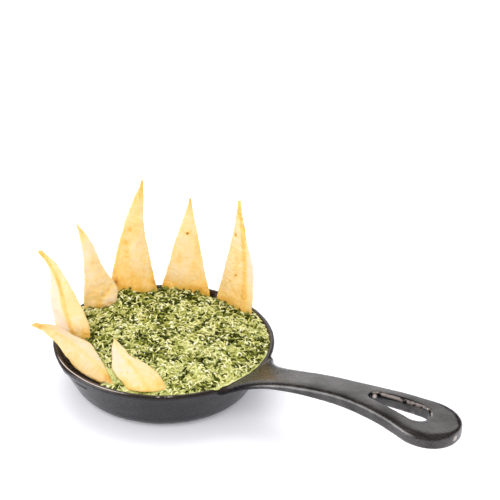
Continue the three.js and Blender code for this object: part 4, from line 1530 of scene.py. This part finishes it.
@dataclass(frozen=True)
class Studio:
    """Floor, lights and camera. Distances are metres.

    The camera stands at an azimuth and elevation about the rim's centre and is then aimed by a
    yaw, a pitch and a roll in degrees. Its lens is given by the focal length in pixels of the
    square picture.
    """

    azimuth: float = 41.0
    elevation: float = 30.73
    distance: float = 1.0
    yaw: float = 4.174
    pitch: float = 26.961
    roll: float = 1.583
    focal_pixels: float = 1326.0
    picture_pixels: float = 500.0
    sensor: float = 36.0
    floor_half: float = 6.0
    floor_glow: float = 0.16
    ambient: float = 0.85
    mirrored_ambient: float = 0.06
    boxes: tuple[Softbox, ...] = (
        Softbox("back_light", 221.0, 34.0, 1.7, 1.6, 1.7, lit=False),
        Softbox("top_light", 228.0, 72.0, 1.5, 1.3, 1.8, mirrored=False),
        Softbox("left_light", -32.0, 18.0, 1.6, 1.2, 7.0, lit=False),
        Softbox("near_fill", 20.0, 44.0, 1.6, 0.8, 4.2, mirrored=False),
        Softbox("front_light", 46.0, 18.0, 1.6, 0.5, 4.0, mirrored=False),
    )

    def camera_axes(self) -> tuple[np.ndarray, np.ndarray, np.ndarray, np.ndarray]:
        """The camera's place, right, up and view directions in the part's frame."""
        rise, pitch, yaw, roll = np.radians([self.elevation, self.pitch, self.yaw, self.roll])
        place = self.distance * np.array([0.0, -np.cos(rise), np.sin(rise)])
        view = np.array([np.sin(yaw) * np.cos(pitch), np.cos(yaw) * np.cos(pitch), -np.sin(pitch)])
        flat_right = np.array([np.cos(yaw), -np.sin(yaw), 0.0])
        flat_up = np.cross(flat_right, view)
        right = flat_right * np.cos(roll) + flat_up * np.sin(roll)
        up = flat_up * np.cos(roll) - flat_right * np.sin(roll)
        turn = np.radians(self.azimuth)
        c, s = np.cos(turn), np.sin(turn)
        spin = np.array([[c, -s, 0.0], [s, c, 0.0], [0.0, 0.0, 1.0]])
        lifted = spin @ place + np.array([0.0, 0.0, SKILLET.height * MM])
        return lifted, spin @ right, spin @ up, spin @ view

    def camera(self) -> bpy.types.Object:
        """Makes the camera and gives it to the scene."""
        data = bpy.data.cameras.new("camera")
        data.sensor_width = self.sensor
        data.lens = self.focal_pixels * self.sensor / self.picture_pixels
        data.clip_end = 50.0
        camera = bpy.data.objects.new("camera", data)
        bpy.context.scene.collection.objects.link(camera)
        place, right, up, view = self.camera_axes()
        matrix = np.eye(4)
        matrix[:3, 0], matrix[:3, 1], matrix[:3, 2], matrix[:3, 3] = right, up, -view, place
        camera.matrix_world = Matrix(matrix.tolist())
        bpy.context.scene.camera = camera
        return camera

    def floor(self) -> bpy.types.Object:
        """A plain pale floor, lit a little from below as a light table is."""
        half = self.floor_half / MM
        corners = np.array([[-half, -half, 0.0], [half, -half, 0.0], [half, half, 0.0], [-half, half, 0.0]])
        floor = new_piece("floor", corners, np.array([[0, 1, 2, 3]]))
        material, _, shader = new_material("pale_floor")
        shader.inputs["Base Color"].default_value = srgb(252, 252, 254)
        shader.inputs["Emission Color"].default_value = srgb(250, 250, 255)
        shader.inputs["Emission Strength"].default_value = self.floor_glow
        shader.inputs["Roughness"].default_value = 0.7
        floor.data.materials.append(material)
        return floor

    def lights(self) -> None:
        """Makes the softboxes, each facing the object and unseen by the camera."""
        for box in self.boxes:
            data = bpy.data.lights.new(box.name, "AREA")
            data.shape = "SQUARE"
            data.size = box.size
            data.energy = box.radiance * math.pi * box.size**2
            light = bpy.data.objects.new(box.name, data)
            bpy.context.scene.collection.objects.link(light)
            azimuth, rise = np.radians([box.azimuth, box.elevation])
            back = np.array([np.sin(azimuth) * np.cos(rise), -np.cos(azimuth) * np.cos(rise), np.sin(rise)])
            right = np.array([np.cos(azimuth), np.sin(azimuth), 0.0])
            matrix = np.eye(4)
            matrix[:3, 0], matrix[:3, 1], matrix[:3, 2] = right, np.cross(back, right), back
            matrix[:3, 3] = back * box.distance
            light.matrix_world = Matrix(matrix.tolist())
            light.visible_camera = False
            light.visible_glossy = box.mirrored
            light.visible_diffuse = box.lit

    def surroundings(self) -> None:
        """A plain world: white to the camera, soft light to the pieces, and dim in reflections."""
        world = bpy.data.worlds.new("surroundings")
        world.use_nodes = True
        bpy.context.scene.world = world
        wiring = Wiring(world.node_tree)
        path = wiring.add("ShaderNodeLightPath")
        shown = world.node_tree.nodes["Background"].outputs[0]
        world.node_tree.nodes["Background"].inputs["Color"].default_value = srgb(250, 250, 255)
        world.node_tree.nodes["Background"].inputs["Strength"].default_value = self.ambient
        for ray, strength in (("Is Glossy Ray", self.mirrored_ambient), ("Is Camera Ray", 1.0)):
            other = wiring.add("ShaderNodeBackground")
            other.inputs["Color"].default_value = (1.0, 1.0, 1.0, 1.0)
            other.inputs["Strength"].default_value = strength
            choose = wiring.add("ShaderNodeMixShader")
            wiring.feed(choose.inputs[0], path.outputs[ray])
            wiring.feed(choose.inputs[1], shown)
            wiring.feed(choose.inputs[2], other.outputs[0])
            shown = choose.outputs[0]
        wiring.feed(world.node_tree.nodes["World Output"].inputs["Surface"], shown)

    def build(self) -> None:
        """Sets the whole studio up."""
        bpy.context.scene.view_settings.view_transform = "Standard"
        self.camera()
        self.floor()
        self.lights()
        self.surroundings()
        LOG.info("studio: %d lights", len(self.boxes))


# ---------------------------------------------------------------- this skillet, as served
SKILLET = Skillet()
WEDGES = (
    Wedge(
        "chip_far_left", -133.2, 62.7, 3, 19, 12, -14, 69,
        left=(-23.5, -23.6, -22.6, -20.8, -17.2, -15.4, -21.0),
        right=(7.6, 7.9, 4.2, 1, -3.1, -8.3, -17.6),
        ridge=(-4.8, -6.1, -7.9, -8.7, -9.7, -13.1, -21),
        base=(10, -7, -9), wings=(0.55, 0.15), curl=2, wave=0.5, seed=101,
        toast=0.3, crease=0.42, pale=(0.3, 0.05), tint=0.92,
        marks=(
            Mark(-8.4, 45.8, 2.5, 7, 0.2),
            Mark(4.3, 2.8, 4, 3, 0.25),
            Mark(-16.4, 66.8, 3, 4, 0.1),
            Mark(-7.5, 35.3, 2, 3, 0.12),
            Mark(-5.8, 10.8, 2, 3, 0.12),
            Mark(-16, 30, 3, 9, -0.1),
        ),
    ),
    Wedge(
        "chip_back_left", 182.6, 63.2, 2, 55, 8, -12, 71,
        left=(-11.6, -9.3, -6.0, -3.2, -0.9, 0.3, 0.6),
        right=(14.5, 18.0, 14.0, 10.8, 9.6, 6.6, 2.4),
        ridge=(0, 0.3, 2.6, 3.9, 3.3, 2.6, 1.9),
        base=(-4, -7, -5), wings=(0.25, 0.2), curl=-2, wave=0.9, seed=111,
        toast=0.27, crease=0.04, foot_toast=0.14, tip_toast=0.1, pale=(0.04, 0.0),
        marks=(
            Mark(3.6, 66.7, 2, 4, 0.15),
            Mark(4.8, 40.9, 3, 5, 0.08, 0.4),
            Mark(-1.2, 15.3, 3, 5, 0.14),
            Mark(-6.2, 12.7, 2.5, 4, 0.1),
            Mark(1.9, 46.3, 2.5, 5, -0.12),
            Mark(6, 26, 7, 0.8, 0.1, 0.5),
            Mark(5, 33, 5, 0.7, 0.08, 0.4),
            # The lower right flap: painted highlight where it faces up, and painted shade in the golden groove along
            # its hinge.
            Mark(9.5, 4.5, 6, 4.4, -0.25, 1.6),
            Mark(-1, 2.5, 2, 1.6, 0.25, -0.5),
            Mark(2.2, 6.2, 2, 1.5, 0.25, -0.6),
            Mark(6, 9.4, 2.2, 1.4, 0.25, -0.6),
            Mark(10, 12.4, 2.2, 1.4, 0.25, -0.6),
            Mark(13.6, 15, 2, 1.4, 0.2, -0.4),
        ),
    ),
    Wedge(
        "chip_tall", 150.5, 66.3, 4, 49, 10, 2, 91,
        left=(-19.8, -18.4, -15.5, -11.8, -7.6, -2, 3.9),
        right=(17.2, 13.8, 10.8, 7.7, 5.8, 6.2, 5.6),
        ridge=(2, 2, 1.8, 1.4, 1.2, 2.4, 4.7),
        base=(-2.5, -8, -6.5), wings=(0.12, 0.2), curl=1.5, wave=0.8, seed=121,
        toast=0.36, crease=0.0, foot_toast=0.38, pale=(-0.05, 0.05),
        marks=(
            # A pale slit near the tip: painted highlight.
            Mark(0.9, 78.8, 0.7, 4, -0.3, -0.5),
            Mark(-5, 51.4, 2.2, 2.6, 0.28),
            Mark(-7.5, 40.9, 2.2, 2.6, 0.28),
            Mark(-7.2, 33.3, 2.4, 2.2, 0.26),
            Mark(-8, 29.7, 2.6, 0.7, 0.3),
            Mark(-6.8, 45.5, 3, 1.6, -0.15),
            Mark(-2.7, 34.5, 2.6, 5, -0.14, 0.5),
            Mark(0.4, 37.4, 0.6, 0.6, 0.4),
            Mark(8.8, 22.7, 0.9, 6, -0.2, 0.3),
            Mark(14.3, 9.8, 3, 7, 0.3),
            Mark(-16.5, 7.9, 3, 5, 0.25),
            Mark(0, 62, 3, 9, 0.08),
        ),
    ),
    Wedge(
        "chip_back_right", 115.9, 70.1, -1, 29, 8, 1, 79.5,
        left=(-21.8, -18.8, -15.4, -12.9, -9.1, -5, -2),
        right=(18, 14.6, 11.3, 8.4, 5.3, 1.9, -0.4),
        ridge=(0, -0.2, -0.5, -0.7, -0.9, -1.2, -1.3),
        base=(-3, -6, -4), wings=(0.16, 0.16), curl=-1.5, wave=0.7, seed=131,
        toast=0.34, crease=0.0, foot_toast=0.46, pale=(0.03, 0.0),
        marks=(
            Mark(-1.9, 51.2, 1.2, 1.2, 1.0, 0.5),
            Mark(4.8, 22.9, 4, 5, 0.14),
            Mark(8.7, 3.6, 5, 4, 0.25),
            Mark(1.3, 3.9, 0.7, 0.7, 0.4),
            Mark(-20.4, 2.7, 3, 4, 0.3),
            Mark(-10.2, 18.9, 4, 6, -0.14, 0.5),
            Mark(6, 40, 2, 8, 0.08),
        ),
    ),
    Wedge(
        "chip_right", 78.1, 66.3, -3, 1, 3, 3, 96.4,
        left=(-17.6, -16, -12.3, -9.5, -7.3, -4.8, -3.3),
        right=(16.3, 15.8, 14.4, 11.7, 6.4, 2.2, -1.6),
        ridge=(11.2, 10.3, 8.7, 6.9, 4.1, 1.2, -2),
        base=(-4, -6, -2), wings=(0.06, 0.7), curl=1.5, wave=0.6, seed=141,
        toast=0.31, crease=0.6, foot_toast=0.36, pale=(0.0, 0.25),
        marks=(
            Mark(-3.3, 67.5, 1.2, 1.3, 1.0, 0.4),
            Mark(0.3, 33.9, 1.2, 1.1, 0.9, 0.4),
            Mark(-5.1, 27.9, 0.9, 0.8, 0.7, 0.3),
            Mark(13.7, 39.8, 0.7, 0.7, 0.6),
            Mark(1, 41.8, 3, 9, 0.14),
            Mark(-11.3, 4.4, 4, 5, 0.25),
            Mark(-6, 18, 3, 6, -0.1, 0.5),
        ),
    ),
    Wedge(
        "chip_over_rim", -79.8, 73.8, -2.5, 15, 69, -66, 92,
        left=(-0.6, -3.5, -5.2, -3.6, -0.5, 0.1, -1.9),
        right=(2.6, 8.1, 13.2, 16.2, 12.8, 11.0, 2.2),
        ridge=(1.5, 4.2, 6.2, 6.6, 5.4, 3.8, 0),
        base=(-1.5, -2, -1.5), wings=(0.35, 0.3), curl=-2, wave=0.5, seed=151,
        toast=0.22, crease=0.12, foot_toast=0.4, tip_toast=0.5, pale=(-0.12, 0.12),
        stain=0.1, smear=0.0, tint=0.84,
        marks=(
            Mark(-5.2, 42.2, 2.4, 12, 0.16),
            Mark(3.5, 6.1, 4, 5, 0.2),
            Mark(11.2, 46, 3, 5, -0.1, 0.5),
            Mark(12.8, 25.9, 3, 6, -0.1),
            Mark(1.5, 36.5, 2.6, 6, -0.15, -0.4),
            Mark(1.9, 79.1, 3, 8, 0.1),
        ),
    ),
    Wedge(
        "chip_front", -57.8, 75.4, 1, 36, 80, -13, 57.2,
        left=(-12, -15.1, -19.4, -22.1, -21, -19.9, -17.6),
        right=(13.4, 11.7, 9, 2.6, -7.6, -11.3, -15.8),
        ridge=(0, -2.8, -5.7, -8.5, -13, -15.6, -16.7),
        base=(5, -1.5, 0.5), wings=(0.12, 0.12), curl=1, wave=0.6, seed=161,
        toast=0.24, crease=0.14, foot_toast=0.3, tip_toast=0.05, pale=(0.16, 0.03),
        stain=0.1, smear=0.0, tint=0.9,
        marks=(
            Mark(-12.1, 19.7, 0.7, 0.7, 0.65, 0.3),
            Mark(-15.8, 11.7, 3, 7, 0.32),
            Mark(8.4, 4.5, 2.6, 4, 0.3),
            Mark(0.9, -0.2, 5, 0.9, 0.15),
            Mark(-18.3, 36.8, 2.6, 8, -0.1),
            Mark(-10, 43, 1.6, 8, 0.12, 0.3),
        ),
    ),
)
DARK = ChoppedLeaf("dark_leaf", srgb(22, 30, 2), srgb(78, 84, 8), gloss=0.15)
GREEN = ChoppedLeaf("green_leaf", srgb(104, 112, 26), srgb(172, 172, 66))
# Pale shreds: cream-coated leaf, brightened to also serve as painted highlights on the dip.
PALE = ChoppedLeaf("pale_leaf", srgb(196, 196, 104), srgb(240, 234, 168))
CURD = ChoppedLeaf("cream_curd", srgb(232, 230, 168), srgb(252, 248, 214))
BITS = (
    Bits("dark_shreds", 1500, (3.6, 8.0), (1.2, 2.2), 1.0, 1.6, (0.1, 1.0), 0.9, DARK, 61),
    Bits("green_shreds", 1250, (3.6, 7.6), (1.1, 2.0), 1.0, 1.6, (0.3, 1.3), 0.3, GREEN, 62),
    Bits("pale_shreds", 1500, (3.6, 8.0), (1.0, 1.9), 1.1, 1.7, (0.5, 1.5), -0.4, PALE, 63),
    Bits("leaf_bits", 380, (2.4, 4.6), (1.6, 2.8), 0.6, 0.8, (0.4, 1.4), 0.9, DARK, 64, oval=True),
    Bits("cream_curds", 360, (2.6, 5.4), (1.2, 2.1), 1.3, 1.4, (0.8, 1.7), -0.3, CURD, 65, 7, True),
)


def main() -> None:
    """Builds the studio, the skillet, the dip and the wedges, in that order."""
    logging.basicConfig(level=logging.INFO, format="%(message)s")
    groups = Groups()
    Studio().build()
    SKILLET.build(SeasonedIron().material(groups, SKILLET))
    dip = Dip()
    dip.core(CreamySauce().material(groups))
    materials = {leaf.name: leaf.material(groups) for leaf in (DARK, GREEN, PALE, CURD)}
    for bits in BITS:
        dip.bits(bits, materials[bits.finish.name])
    dough = FriedDough().material(groups)
    for wedge in WEDGES:
        wedge.build(dough, dip)


if __name__ == "__main__":
    main()
